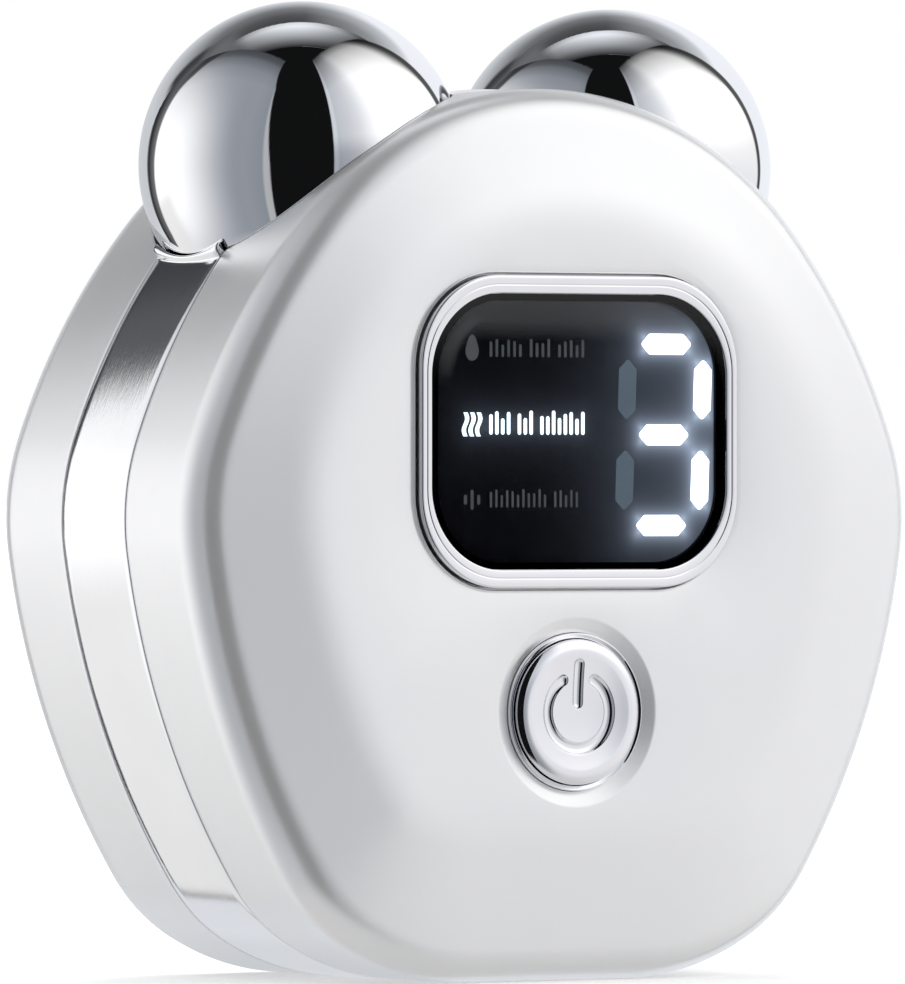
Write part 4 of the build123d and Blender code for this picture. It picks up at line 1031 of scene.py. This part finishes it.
def mix_colours(tree, factor, first, second, blend="MIX"):
    """Two colours, each three numbers or a socket, mixed by a mask or a number; blend says how."""
    node = tree.nodes.new("ShaderNodeMix")
    node.data_type = "RGBA"
    node.blend_type = blend
    if isinstance(factor, float):
        node.inputs["Factor"].default_value = factor
    else:
        tree.links.new(factor, node.inputs["Factor"])
    for socket, colour in zip((node.inputs[6], node.inputs[7]), (first, second)):  # the RGBA pair
        if isinstance(colour, (tuple, list)):
            socket.default_value = (*colour, 1.0)
        else:
            tree.links.new(colour, socket)
    return node.outputs[2]


def bump(tree, shader, height, distance):
    """Bump node from a height to the shader's normal; distance is in metres."""
    node = tree.nodes.new("ShaderNodeBump")
    node.inputs["Distance"].default_value = distance
    node.inputs["Strength"].default_value = 1.0
    tree.links.new(height, node.inputs["Height"])
    feed(tree, shader, Normal=node.outputs["Normal"])


def pearl_white():
    """Satin pearl lacquer: part of it mirrors softly like mica, under a thin clear coat."""
    material, tree, shader, coords = new_material(
        "pearl_white", Metallic=0.7, IOR=1.5, Coat_Weight=0.15, Coat_Roughness=0.12, Coat_IOR=1.45)
    mask = place_group(tree, MOTTLE, coords, Scale=60.0)
    colour = mix_colours(tree, mask, (0.885, 0.885, 0.89), (0.905, 0.905, 0.908))
    rough = place_group(tree, MOTTLE, coords, Scale=150.0, Low=0.275, High=0.305)
    feed(tree, shader, Base_Color=colour, Roughness=rough)
    grain = place_group(tree, GRAIN, coords, Fine_Scale=2600.0, Wave_Scale=120.0, Wave_Share=0.35)
    bump(tree, shader, grain, 1.2e-6)
    return material


def chrome(name, colour, low, high, scale, stretch=None):
    """Mirror plating, faintly hazed by handling; stretched lines where it was brushed first."""
    material, tree, shader, coords = new_material(name, Metallic=1.0)
    mask = place_group(tree, MOTTLE, coords, Scale=scale)
    hazed = mix_colours(tree, mask, [HAZE_SHADE * part for part in colour], colour)
    height = place_group(tree, GRAIN, coords, Fine_Scale=1500.0, Wave_Scale=60.0, Wave_Share=0.8)
    if stretch:
        rough = place_group(tree, HAIRLINES, coords, Stretch=stretch, Low=low, High=high)
        lines = place_group(tree, HAIRLINES, coords, Stretch=[LINE_STRETCH * part for part in stretch])
        height = math_node(tree, "MULTIPLY_ADD", lines, LINE_HEIGHT, height)
    else:
        rough = place_group(tree, MOTTLE, coords, Scale=scale * 3, Low=low, High=high)
    feed(tree, shader, Base_Color=hazed, Roughness=rough)
    bump(tree, shader, height, 1.5e-6)
    return material


def window_glass():
    """Tinted glass over the display: clear enough for the digit, dark and glossy from outside. Its coat
    reflects only where masks let it: a painted sheen along the top and a painted reflection streak in
    the upper-left corner.
    """
    material, tree, shader, coords = new_material(
        "window_glass", IOR=1.03, Transmission_Weight=1.0, Metallic=0.0, Specular_IOR_Level=0.02,
        Coat_IOR=1.9, Coat_Roughness=0.02)
    # painted sheen: the coat's reflection is masked into a band along the top of the window
    clear_w, clear_h = WINDOW[0] + 2 * SHEEN_PAST, 2 * WINDOW[1]
    clear_z = DISPLAY_Z + WINDOW[1] / 2 - SHEEN_TOP - clear_h / 2
    edge = place_group(tree, ROUND_BOX, coords, Corner=SHEEN_CORNER * MM, Centre=(0, 0, clear_z * MM),
                       Half_Size=(clear_w / 2 * MM, 0, clear_h / 2 * MM))
    border = place_group(tree, ROUND_BOX, coords, Corner=WINDOW[2] * MM, Centre=(0, 0, DISPLAY_Z * MM),
                         Half_Size=(WINDOW[0] / 2 * MM, 0, WINDOW[1] / 2 * MM))
    split = tree.nodes.new("ShaderNodeSeparateXYZ")
    tree.links.new(coords, split.inputs[0])
    low, top = DISPLAY_Z + SHEEN_RISE[0], DISPLAY_Z + WINDOW[1] / 2 - SHEEN_RISE[1]
    height = map_node(tree, split.outputs["Z"], low * MM, top * MM, *SHEEN_LEVELS)
    painted_sheen = map_node(tree, edge, SHEEN_SOFT[0] * MM, SHEEN_SOFT[1] * MM, 0.0, 1.0)
    painted_sheen = math_node(tree, "MULTIPLY", painted_sheen, height)
    # painted reflection streak: a soft line just inside the window's outline, in the upper-left corner
    # only
    diagonal = math_node(tree, "SUBTRACT", split.outputs["Z"], split.outputs["X"])
    corner = map_node(tree, diagonal, (DISPLAY_Z + REFLECTION_STREAK_START) * MM, (DISPLAY_Z + REFLECTION_STREAK_FULL) * MM,
                      0.0, REFLECTION_STREAK_LEVEL)
    off_line = math_node(tree, "ABSOLUTE", math_node(tree, "ADD", border, REFLECTION_STREAK_IN * MM))
    painted_streak = map_node(tree, off_line, REFLECTION_STREAK_SOFT[0] * MM, REFLECTION_STREAK_SOFT[1] * MM, 1.0, 0.0)
    painted_streak = math_node(tree, "MULTIPLY", painted_streak, corner)
    black_edge = map_node(tree, border, -(BLACK_BORDER + BORDER_SOFT) * MM, -BLACK_BORDER * MM, 0.0, 1.0)
    mask = place_group(tree, MOTTLE, coords, Scale=140.0)
    clear = mix_colours(tree, mask, (0.80, 0.82, 0.86), (0.84, 0.86, 0.9))
    printed = mix_colours(tree, black_edge, (1, 1, 1), (0.003, 0.003, 0.003))
    smears = place_group(tree, MOTTLE, coords, Scale=300.0, Low=0.005, High=0.03)
    feed(tree, shader, Base_Color=mix_colours(tree, 1.0, clear, printed, "MULTIPLY"), Roughness=smears,
         Coat_Weight=math_node(tree, "MAXIMUM", painted_sheen, painted_streak))
    return material


def display_face():
    """Black face of the display module, with the halo of every lit bar and of the lit row."""
    material, tree, shader, coords = new_material(
        "display_face", Roughness=0.5, Specular_IOR_Level=0.0, Emission_Strength=1.0)
    mask = place_group(tree, MOTTLE, coords, Scale=900.0)
    colour = mix_colours(tree, mask, (0.004, 0.004, 0.005), (0.007, 0.007, 0.009))
    total = None
    for x, z, upright in digit_places(True):
        size = (SEGMENT_WIDE, SEGMENT_LONG) if upright else (SEGMENT_LONG, SEGMENT_WIDE)
        half = np.array(size) / 2 - HALO_IN
        value = place_group(tree, GLOW, coords, Near=0.00042, Far=0.0021, Far_Share=0.17,
                            Centre=(x * MM, 0, z * MM), Half_Size=(half[0] * MM, 0, half[1] * MM))
        total = value if total is None else math_node(tree, "ADD", total, value)
    row = place_group(tree, GLOW, coords, Near=0.0006, Far=0.0016, Far_Share=0.3,
                      Centre=(LIT_ROW_X * MM, 0, (DISPLAY_Z + MODE_RAISED) * MM),
                      Half_Size=(LIT_ROW_HALF[0] * MM, 0, LIT_ROW_HALF[1] * MM))
    total = math_node(tree, "MULTIPLY_ADD", row, LIT_ROW_SHARE, total)
    halo = mix_colours(tree, 1.0, HALO_COLOUR, total, "MULTIPLY")
    feed(tree, shader, Base_Color=colour, Emission_Color=halo)
    return material


def lit_guide(name, colour, glow, strength, low, high):
    """Light guide: milky plastic that glows a little unevenly; on the unlit guides the faint glow is
    painted light.
    """
    material, tree, shader, coords = new_material(name, Roughness=0.45, Emission_Strength=strength)
    clouds = place_group(tree, MOTTLE, coords, Scale=700.0)
    milky = mix_colours(tree, clouds, colour, [MILKY_SHADE * part for part in colour])
    mask = place_group(tree, MOTTLE, coords, Scale=500.0, Low=low, High=high)
    feed(tree, shader, Base_Color=milky, Emission_Color=mix_colours(tree, mask, (0.0, 0.0, 0.0), glow))
    return material


def plain_finish(name, colour, roughness, metallic=0.0, grain=1e-5, scale=1800.0, stretch=None,
                 dark=0.82):
    """Moulded, turned or stamped finish: uneven colour and roughness over a fine grain or hairlines."""
    material, tree, shader, coords = new_material(name, Metallic=metallic)
    if stretch:
        mask = place_group(tree, HAIRLINES, coords, Stretch=stretch)
    else:
        mask = place_group(tree, MOTTLE, coords, Scale=scale)
    shaded = mix_colours(tree, mask, [dark * part for part in colour], colour)
    rough = map_node(tree, mask, 0.0, 1.0, roughness * 0.8, min(roughness * 1.2, 1.0))
    feed(tree, shader, Base_Color=shaded, Roughness=rough)
    bump(tree, shader, place_group(tree, GRAIN, coords, Fine_Scale=scale * 1.6, Wave_Share=0.3), grain)
    return material


def board_mask():
    """Solder mask over copper: traces show as slightly lighter bands of a brick grid."""
    material, tree, shader, coords = new_material("board_mask", Coat_Weight=0.3, Coat_Roughness=0.2)
    brick = tree.nodes.new("ShaderNodeTexBrick")
    turn = tree.nodes.new("ShaderNodeMapping")
    turn.inputs["Rotation"].default_value = (np.radians(90), 0, 0)
    tree.links.new(coords, turn.inputs["Vector"])
    tree.links.new(turn.outputs["Vector"], brick.inputs["Vector"])
    for label, value in (("Scale", 260.0), ("Mortar Size", 0.03), ("Mortar Smooth", 0.2)):
        brick.inputs[label].default_value = value
    colour = mix_colours(tree, brick.outputs["Fac"], (0.01, 0.12, 0.055), (0.03, 0.26, 0.12))
    rough = place_group(tree, MOTTLE, coords, Scale=900.0, Low=0.3, High=0.45)
    feed(tree, shader, Base_Color=colour, Roughness=rough)
    bump(tree, shader, brick.outputs["Fac"], 2e-5)
    return material


def dress_inside():
    """Finishes of the CAD nodes that stay as they are, by material slot."""
    fine, turned_lines, wound = (3.0e4, 400.0, 400.0), (900.0, 900.0, 2.6e4), (300.0, 1.6e4, 300.0)
    finishes = {
        "inner_plastic": plain_finish("frame_plastic", (0.30, 0.30, 0.32), 0.5, grain=3e-5),
        "hub_plastic": plain_finish("bush_plastic", (0.86, 0.85, 0.80), 0.42, grain=2e-5),
        "steel": plain_finish("turned_steel", (0.60, 0.60, 0.61), 0.28, 1.0, 4e-6, stretch=turned_lines),
        "brass": plain_finish("stamped_brass", (0.78, 0.60, 0.30), 0.32, 1.0, 6e-6),
        "heater_ceramic": plain_finish("fired_ceramic", (0.74, 0.73, 0.69), 0.6, grain=2e-5),
        "foam": plain_finish("black_foam", (0.03, 0.03, 0.03), 0.9, grain=8e-5, scale=3500.0, dark=0.5),
        "board": board_mask(),
        "chip": plain_finish("chip_resin", (0.035, 0.035, 0.038), 0.55, grain=2e-5, scale=4000.0),
        "coil": plain_finish("coil_winding", (0.45, 0.22, 0.10), 0.35, 0.6, 3e-5, stretch=wound),
        "capacitor": plain_finish("can_aluminium", (0.72, 0.72, 0.74), 0.3, 1.0, 4e-6, stretch=fine),
        "battery_foil": plain_finish("pouch_foil", (0.70, 0.71, 0.73), 0.36, 0.9, 6e-5, scale=420.0),
        "socket_plastic": plain_finish("socket_plastic", (0.84, 0.82, 0.75), 0.45, grain=2e-5),
        "wire": plain_finish("wire_sleeve", (0.55, 0.05, 0.05), 0.4, grain=1e-5),
        "chrome_trim": plain_finish("socket_shell", (0.66, 0.66, 0.68), 0.24, 1.0, 4e-6, stretch=fine),
        "chrome_button": plain_finish("clip_steel", (0.62, 0.62, 0.63), 0.3, 1.0, 4e-6, stretch=fine),
    }
    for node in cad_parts.values():
        if node.hide_render:
            continue
        slot = node.data.materials[0].name.split(".")[0]
        if slot not in finishes:
            print("no finish for", node.name, slot)
            continue
        node.data.materials[0] = finishes[slot]


# ------------------------------------------------------------------ studio
CAMERA_TURN = -33.0  # degrees round Z; the camera is level
CAMERA_PLACE = (-467.04, -718.56, 35.0)
LENS, SENSOR = 432.7, 36.0  # focal length, and the sensor's height
MIDDLE = np.array((0.0, 0.0, 35.0))  # of the object, and of the studio's dome
DOME_R, DOME_STEP = 1600.0, 0.75  # the dome's radius, and the degrees between its points
# the dark on the camera's side, the dark past the left softbox, and the table below
BLACK, DARK_GAP, TABLE = (0.006, 0.006, 0.006), (0.03, 0.03, 0.033), (0.62, 0.62, 0.62)
COOL, GAP_TINT = (0.965, 1.0, 1.05), (0.98, 1.0, 1.08)  # tints of the backdrop and ceiling, the gap
WHITE_BOX = (1.16, 1.16, 1.17)  # brightest part of the left softbox
OVERHEAD_X, OVERHEAD_WIDE, OVERHEAD_NARROW = -0.05, 0.43, 0.33  # its middle, spread to left and right
FLOOR_RINGS, FLOOR_STEPS, FLOOR_Z = (0.0, 150.0, 900.0, 30000.0), 96, -0.02
FLOOR_LIFT = (0.035, 0.16, 0.3, 1.0)  # metres from the middle, and the camera's extra light there
LAMP_AWAY, LAMP_SIZE = 1100.0, 900.0  # each lamp's distance and width


def studio_direction(azimuth, elevation):
    """Unit direction from the object: azimuth is from the camera, to its right, elevation is up."""
    turn, rise = np.radians(np.add(azimuth, CAMERA_TURN)), np.radians(elevation)
    return np.array((np.cos(rise) * np.sin(turn), -np.cos(rise) * np.cos(turn), np.sin(rise)))


def ease(value, low, high):
    """Smooth step: 0 up to low, 1 from high on. low may lie above high, which turns it round."""
    share = np.clip((value - low) / (high - low), 0, 1)
    return share * share * (3 - 2 * share)


def between(value, stops):
    """Straight lines between stops of (value, number or colour)."""
    places = [place for place, _ in stops]
    levels = np.array([level for _, level in stops], float)
    if levels.ndim == 1:
        return np.interp(value, places, levels)
    return np.stack([np.interp(value, places, levels[:, part]) for part in range(3)], axis=-1)


def layered(under, over, mask):
    """One colour laid over another by a mask."""
    return under + (over - under) * mask[..., None]


def grey(level):
    """Neutral colour of each level."""
    return np.repeat(level[..., None], 3, axis=-1)


def backdrop_glow(azimuth, elevation):
    """Backdrop behind the object: it darkens upward, keeps a level of its own under the horizon and
    is lightest to the camera's right."""
    low = between(azimuth % 360, ((180, 0.6), (200, 0.78), (230, 0.8)))
    level = between(elevation, ((-45, 0.6), (0, 0.64), (12, 0.64), (20, 0.54), (30, 0.34), (37, 0.19),
                                (50, 0.09), (60, 0.06)))
    right = between(azimuth % 360, ((135, 3.6), (155, 3.0), (167, 2.4), (180, 1.15), (192, 1.0),
                                    (230, 0.95)))
    level = np.where(elevation < 0, level + (low - level) * ease(elevation, -6, -20), level)
    return grey(np.minimum(level * right, 0.93))


def left_glow(azimuth, elevation, below_top):
    """Left softbox: blue-grey towards the camera, white to the back, duller low at the back, and
    fading along its back and top edges. below_top grows down from its top edge."""
    base = between(azimuth, ((-60, (0.28, 0.305, 0.345)), (-40, (0.285, 0.305, 0.345)),
                             (-29, (0.255, 0.28, 0.315)), (-27.5, (0.255, 0.28, 0.315)),
                             (-26, (0.45, 0.46, 0.48)), (-22, (0.42, 0.43, 0.44))))
    rise = np.where(elevation > 0, elevation / 38, -elevation / 42)
    hot = ease(azimuth, -45, -105) * np.exp(-np.abs(rise) ** 3)
    colour = layered(base, np.array(WHITE_BOX), hot)
    table = grey(between(elevation, ((-36, 0.8), (-28, 0.84), (-21, 0.88), (-13, 0.9))))
    colour = layered(colour, table, ease(elevation, -7, -13) * ease(azimuth, -104, -116))
    head = between(below_top, ((0, 0.2), (0.1, 0.3), (0.16, 0.5), (0.35, 0.85), (0.6, 1)))
    colour = colour * head[..., None]
    edge = between(elevation, ((-45, -150), (-31, -136), (-20, -127), (0, -123.5), (20, -121.6),
                               (28, -120.5), (36, -118)))
    past = between(edge - azimuth, ((2.1, 0), (3.0, 0.25), (3.9, 0.76), (4.8, 0.87), (7, 0.9),
                                    (9, 0.93), (13, 1)))
    return layered(colour, np.array(DARK_GAP), past)


def right_glow(azimuth, elevation, below_top):
    """Right softbox: white, a little blue near the camera, duller from the object's height down, and
    fading along its far and top edges. below_top grows down from its top edge."""
    across = between(azimuth, ((23, (0.62, 0.65, 0.70)), (25.5, (0.60, 0.63, 0.68)),
                               (27, (0.50, 0.53, 0.57)), (38, (0.60, 0.62, 0.65)),
                               (45, (0.70, 0.72, 0.75)), (58, (1.04, 1.05, 1.06)),
                               (64, (1.09, 1.09, 1.1)), (73, (1.09, 1.09, 1.1)),
                               (90, (1.15, 1.15, 1.15))))
    rising = between(elevation, ((-60, 0.55), (-35, 0.62), (-21, 0.72), (-11, 0.76), (0, 0.77),
                                 (9, 0.84), (20, 1.06)))
    rising = rising * (1 - 0.16 * ease(azimuth, 58, 40) * ease(elevation, 18, 4))
    lilac = layered(np.ones(3), np.array((0.985, 0.985, 1.01)), ease(np.abs(elevation), 22, 0))
    head = between(below_top, ((0, 0.06), (0.07, 0.25), (0.11, 0.38), (0.19, 0.52), (0.32, 0.72),
                               (0.5, 0.95), (0.8, 1)))
    far_edge = between(elevation, ((0, 130.5), (30, 128), (45, 117)))
    fade = ease(azimuth - far_edge, 0, between(elevation, ((30, 3), (45, 16))))
    return across * lilac * (rising * head * (1 - 0.92 * fade))[..., None]


def overhead_glow(across, behind):
    """Overhead softbox, brightest near its back edge and fading to black towards the camera."""
    level = between(behind, ((0, 0.02), (0.1, 0.17), (0.19, 0.38), (0.3, 0.62), (0.42, 0.92),
                             (0.53, 0.75)))
    width = np.where(across < OVERHEAD_X, OVERHEAD_WIDE, OVERHEAD_NARROW)
    return grey(level * np.exp(-((across - OVERHEAD_X) / width) ** 2))


def studio_glow(azimuth, elevation):
    """Colour of the studio in a direction, laid up from the backdrop, the black on the camera's
    side, a faint haze above on the left, the three softboxes with a dark gap high behind the left
    one, and the table below. across and behind are where the direction meets a level ceiling, to the
    camera's right and away from it, per unit of height. under_left and under_right are how far that
    place is past the straight top edge of the left and of the right softbox."""
    rise = np.tan(np.radians(np.maximum(elevation, 8)))
    across, behind = np.sin(np.radians(azimuth)) / rise, -np.cos(np.radians(azimuth)) / rise
    under_left = -0.16 - (behind + 0.2225) / 1.31 - across
    under_right = across - 0.091 - (behind + 0.218) * 0.483
    colour = backdrop_glow(azimuth, elevation)
    colour = layered(colour, np.array(BLACK), ease(np.abs(azimuth), 92, 90))
    above = ease(elevation, 40, 42) * ease(behind, 0.0, 0.01)
    haze = grey(between(behind, ((0, 0.05), (0.1, 0.09), (0.35, 0.14), (0.6, 0.15), (0.9, 0.12))))
    colour = layered(colour, haze, above * ease(across, -0.42, -0.62) * ease(behind, 1.0, 0.85))
    overhead = above * ease(across, -0.62, -0.42) * ease(behind, 0.545, 0.53)
    colour = layered(colour, overhead_glow(across, behind), overhead) * np.array(COOL)
    start = between(elevation, ((-60, -20), (0, -21.5), (52, -26), (76, -35.5)))
    end = -137 - 0.006 * (elevation - 5) ** 2
    left = ease(azimuth, start, start - 1) * ease(azimuth, end - 6, end) * ease(under_left, 0, 0.012)
    colour = layered(colour, left_glow(azimuth, elevation, under_left), left)
    gap = ease(azimuth, -125, -130) * ease(azimuth, -146, -139)
    gap = gap * ease(elevation, 18, 25) * ease(elevation, 44, 36)
    band_dark = between(azimuth, ((-139, 0.045), (-134, 0.065), (-131, 0.1), (-128, 0.12)))
    colour = layered(colour, band_dark[..., None] * np.array(GAP_TINT), gap)
    right = ease(azimuth, 22.5, 23.5) * ease(azimuth, 138, 136) * ease(under_right, 0, 0.012)
    colour = layered(colour, right_glow(azimuth, elevation, under_right), right)
    return layered(colour, np.array(TABLE), ease(elevation, -42, -56))


def studio_dome():
    """Dome that only reflections see; each point's colour is the studio's in its direction."""
    azimuth, elevation = np.meshgrid(np.arange(-180, 180, DOME_STEP), np.arange(-90, 90.01, DOME_STEP))
    points = MIDDLE + DOME_R * np.moveaxis(studio_direction(azimuth, elevation), 0, -1)
    vertices, faces = grid(points, wrap_columns=True)
    mesh = bpy.data.meshes.new("studio_dome")
    mesh.from_pydata((vertices * MM).tolist(), [], faces.tolist())
    colours = np.concatenate([studio_glow(azimuth, elevation), np.ones((*azimuth.shape, 1))], axis=-1)
    glow = mesh.attributes.new("glow", "FLOAT_COLOR", "POINT")
    glow.data.foreach_set("color", colours.reshape(-1).astype(np.float32))
    material = bpy.data.materials.new("dome_glow")
    material.use_nodes = True
    tree = material.node_tree
    tree.nodes.remove(tree.nodes["Principled BSDF"])
    attribute = tree.nodes.new("ShaderNodeAttribute")
    attribute.attribute_name = "glow"
    emission = tree.nodes.new("ShaderNodeEmission")
    tree.links.new(attribute.outputs["Color"], emission.inputs["Color"])
    tree.links.new(emission.outputs[0], tree.nodes["Material Output"].inputs["Surface"])
    material.cycles.emission_sampling = "NONE"
    mesh.materials.append(material)
    dome = bpy.data.objects.new("studio_dome", mesh)
    bpy.context.scene.collection.objects.link(dome)
    dome.visible_camera = dome.visible_diffuse = dome.visible_shadow = dome.visible_transmission = False


def lamp(name, azimuth, elevation, watts):
    """Soft lamp that lights the surfaces but isn't mirrored in them."""
    data = bpy.data.lights.new(name, "AREA")
    data.shape, data.size, data.energy = "DISK", LAMP_SIZE * MM, watts
    light = bpy.data.objects.new(name, data)
    place = studio_direction(azimuth, elevation)
    light.location = Vector((MIDDLE + LAMP_AWAY * place) * MM)
    light.rotation_euler = Vector(-place).to_track_quat("-Z", "Y").to_euler()
    light.visible_glossy = light.visible_camera = light.visible_transmission = False
    bpy.context.scene.collection.objects.link(light)


def world_light(level):
    """World: white to the camera, in mirrors and through glass; a plain level for everything else."""
    world = bpy.data.worlds.new("studio_world")
    bpy.context.scene.world = world
    world.use_nodes = True
    tree = world.node_tree
    soft = tree.nodes["Background"]
    soft.inputs["Color"].default_value = (0.98, 0.99, 1.0, 1)
    soft.inputs["Strength"].default_value = level
    white = tree.nodes.new("ShaderNodeBackground")
    white.inputs["Color"].default_value = (1, 1, 1, 1)
    path = tree.nodes.new("ShaderNodeLightPath")
    seen = math_node(tree, "MAXIMUM", path.outputs["Is Camera Ray"], path.outputs["Is Glossy Ray"])
    seen = math_node(tree, "MAXIMUM", seen, path.outputs["Is Transmission Ray"])
    mix = tree.nodes.new("ShaderNodeMixShader")
    tree.links.new(seen, mix.inputs["Fac"])
    tree.links.new(soft.outputs[0], mix.inputs[1])
    tree.links.new(white.outputs[0], mix.inputs[2])
    tree.links.new(mix.outputs[0], tree.nodes["World Output"].inputs["Surface"])


def studio_floor():
    """Pale floor, which keeps the object's shadow; the camera sees it lighter, and white further off."""
    rings = np.array([ring_loop(radius, FLOOR_STEPS) for radius in FLOOR_RINGS])
    points = np.concatenate([rings, np.full((*rings.shape[:2], 1), FLOOR_Z)], axis=-1)
    vertices, faces = weld([grid(points, wrap_columns=True)])
    mesh = bpy.data.meshes.new("floor")
    mesh.from_pydata((vertices * MM).tolist(), [], faces)
    floor = bpy.data.objects.new("floor", mesh)
    material = bpy.data.materials.new("pale_floor")
    material.use_nodes = True
    tree = material.node_tree
    shader = tree.nodes["Principled BSDF"]
    shader.inputs["Base Color"].default_value = (0.92, 0.92, 0.92, 1)
    shader.inputs["Roughness"].default_value = 0.9
    shader.inputs["Specular IOR Level"].default_value = 0.1
    path = tree.nodes.new("ShaderNodeLightPath")
    shader.inputs["Emission Color"].default_value = (1, 1, 1, 1)
    away = vector_node(tree, "LENGTH", tree.nodes.new("ShaderNodeTexCoord").outputs["Object"])
    lift = map_node(tree, away, *FLOOR_LIFT)
    strength = math_node(tree, "MULTIPLY", path.outputs["Is Camera Ray"], lift)
    tree.links.new(strength, shader.inputs["Emission Strength"])
    mesh.materials.append(material)
    bpy.context.scene.collection.objects.link(floor)
    floor.visible_glossy = False


def studio_camera():
    """Level camera at the front left, at the height of the object's middle."""
    data = bpy.data.cameras.new("camera")
    data.lens, data.sensor_fit = LENS, "VERTICAL"
    data.sensor_height = data.sensor_width = SENSOR
    camera = bpy.data.objects.new("camera", data)
    camera.location = Vector(CAMERA_PLACE) * MM
    camera.rotation_euler = (np.radians(90), 0, np.radians(CAMERA_TURN))
    bpy.context.scene.collection.objects.link(camera)
    bpy.context.scene.camera = camera


# ------------------------------------------------------------------ the object
def build():
    """All visible pieces, and the finishes of the inner ones."""
    white = pearl_white()
    band = chrome("band_chrome", (0.93, 0.93, 0.94), 0.03, 0.07, 160.0, (600.0, 4000.0, 600.0))
    ball = chrome("ball_chrome", (0.95, 0.95, 0.96), 0.01, 0.025, 90.0)
    trim = chrome("trim_chrome", (0.93, 0.93, 0.95), 0.04, 0.08, 200.0)
    cap = chrome("cap_chrome", (0.92, 0.92, 0.95), 0.05, 0.10, 220.0)
    front_shell(white)
    rear_shell(white)
    strip_piece("middle_band", band_half, band, ["mid_band"])
    strip_piece("crown_bridge", bridge_half, band, ["top_bridge"])
    roller_ball("ball_left_skin", -1, ball)
    roller_ball("ball_right_skin", 1, ball)
    display_bezel(trim)
    plate("window_pane", WINDOW, WINDOW_FACE, LEDGE_Y, WINDOW_ROLL, WINDOW_DROP, window_glass(),
          "display_window")
    plate("display_panel", MODULE, MODULE_FACE, MODULE_BACK, MODULE_ROLL, MODULE_DROP, display_face(),
          "display_module")
    lit = lit_guide("digit_light", (0.9, 0.95, 1.0), (0.86, 0.94, 1.0), 3.0, 0.85, 1.0)
    digit("digit_bars_lit", True, lit, "digit_lit")
    # unlit bars: their faint blue-grey glow is painted light
    dark = lit_guide("digit_dark", (0.02, 0.03, 0.04), (0.075, 0.105, 0.13), 1.0, 0.8, 1.0)
    digit("digit_bars_dark", False, dark, "digit_unlit")
    # unlit rows of signs: their faint glow is painted light
    dim = lit_guide("mode_dim", (0.02, 0.02, 0.02), (0.045, 0.05, 0.052), 1.0, 0.7, 1.0)
    bright = lit_guide("mode_bright", (0.85, 0.9, 0.95), (0.8, 0.95, 1.0), 1.6, 0.8, 1.0)
    mode_rows("mode_signs_dim", (0, 2), dim, ["mode_marks"])
    mode_rows("mode_signs_lit", (1,), bright)
    button_ring(trim)
    power_button(cap)
    dress_inside()


studio_camera()
studio_floor()
world_light(0.42)
studio_dome()
lamp("lamp_left", -75, 28, 2)
lamp("lamp_high_left", -110, 55, 4)
lamp("lamp_right", 70, 35, 5)
lamp("lamp_top", 170, 70, 5)
build()
bpy.context.scene.view_settings.view_transform = "Standard"
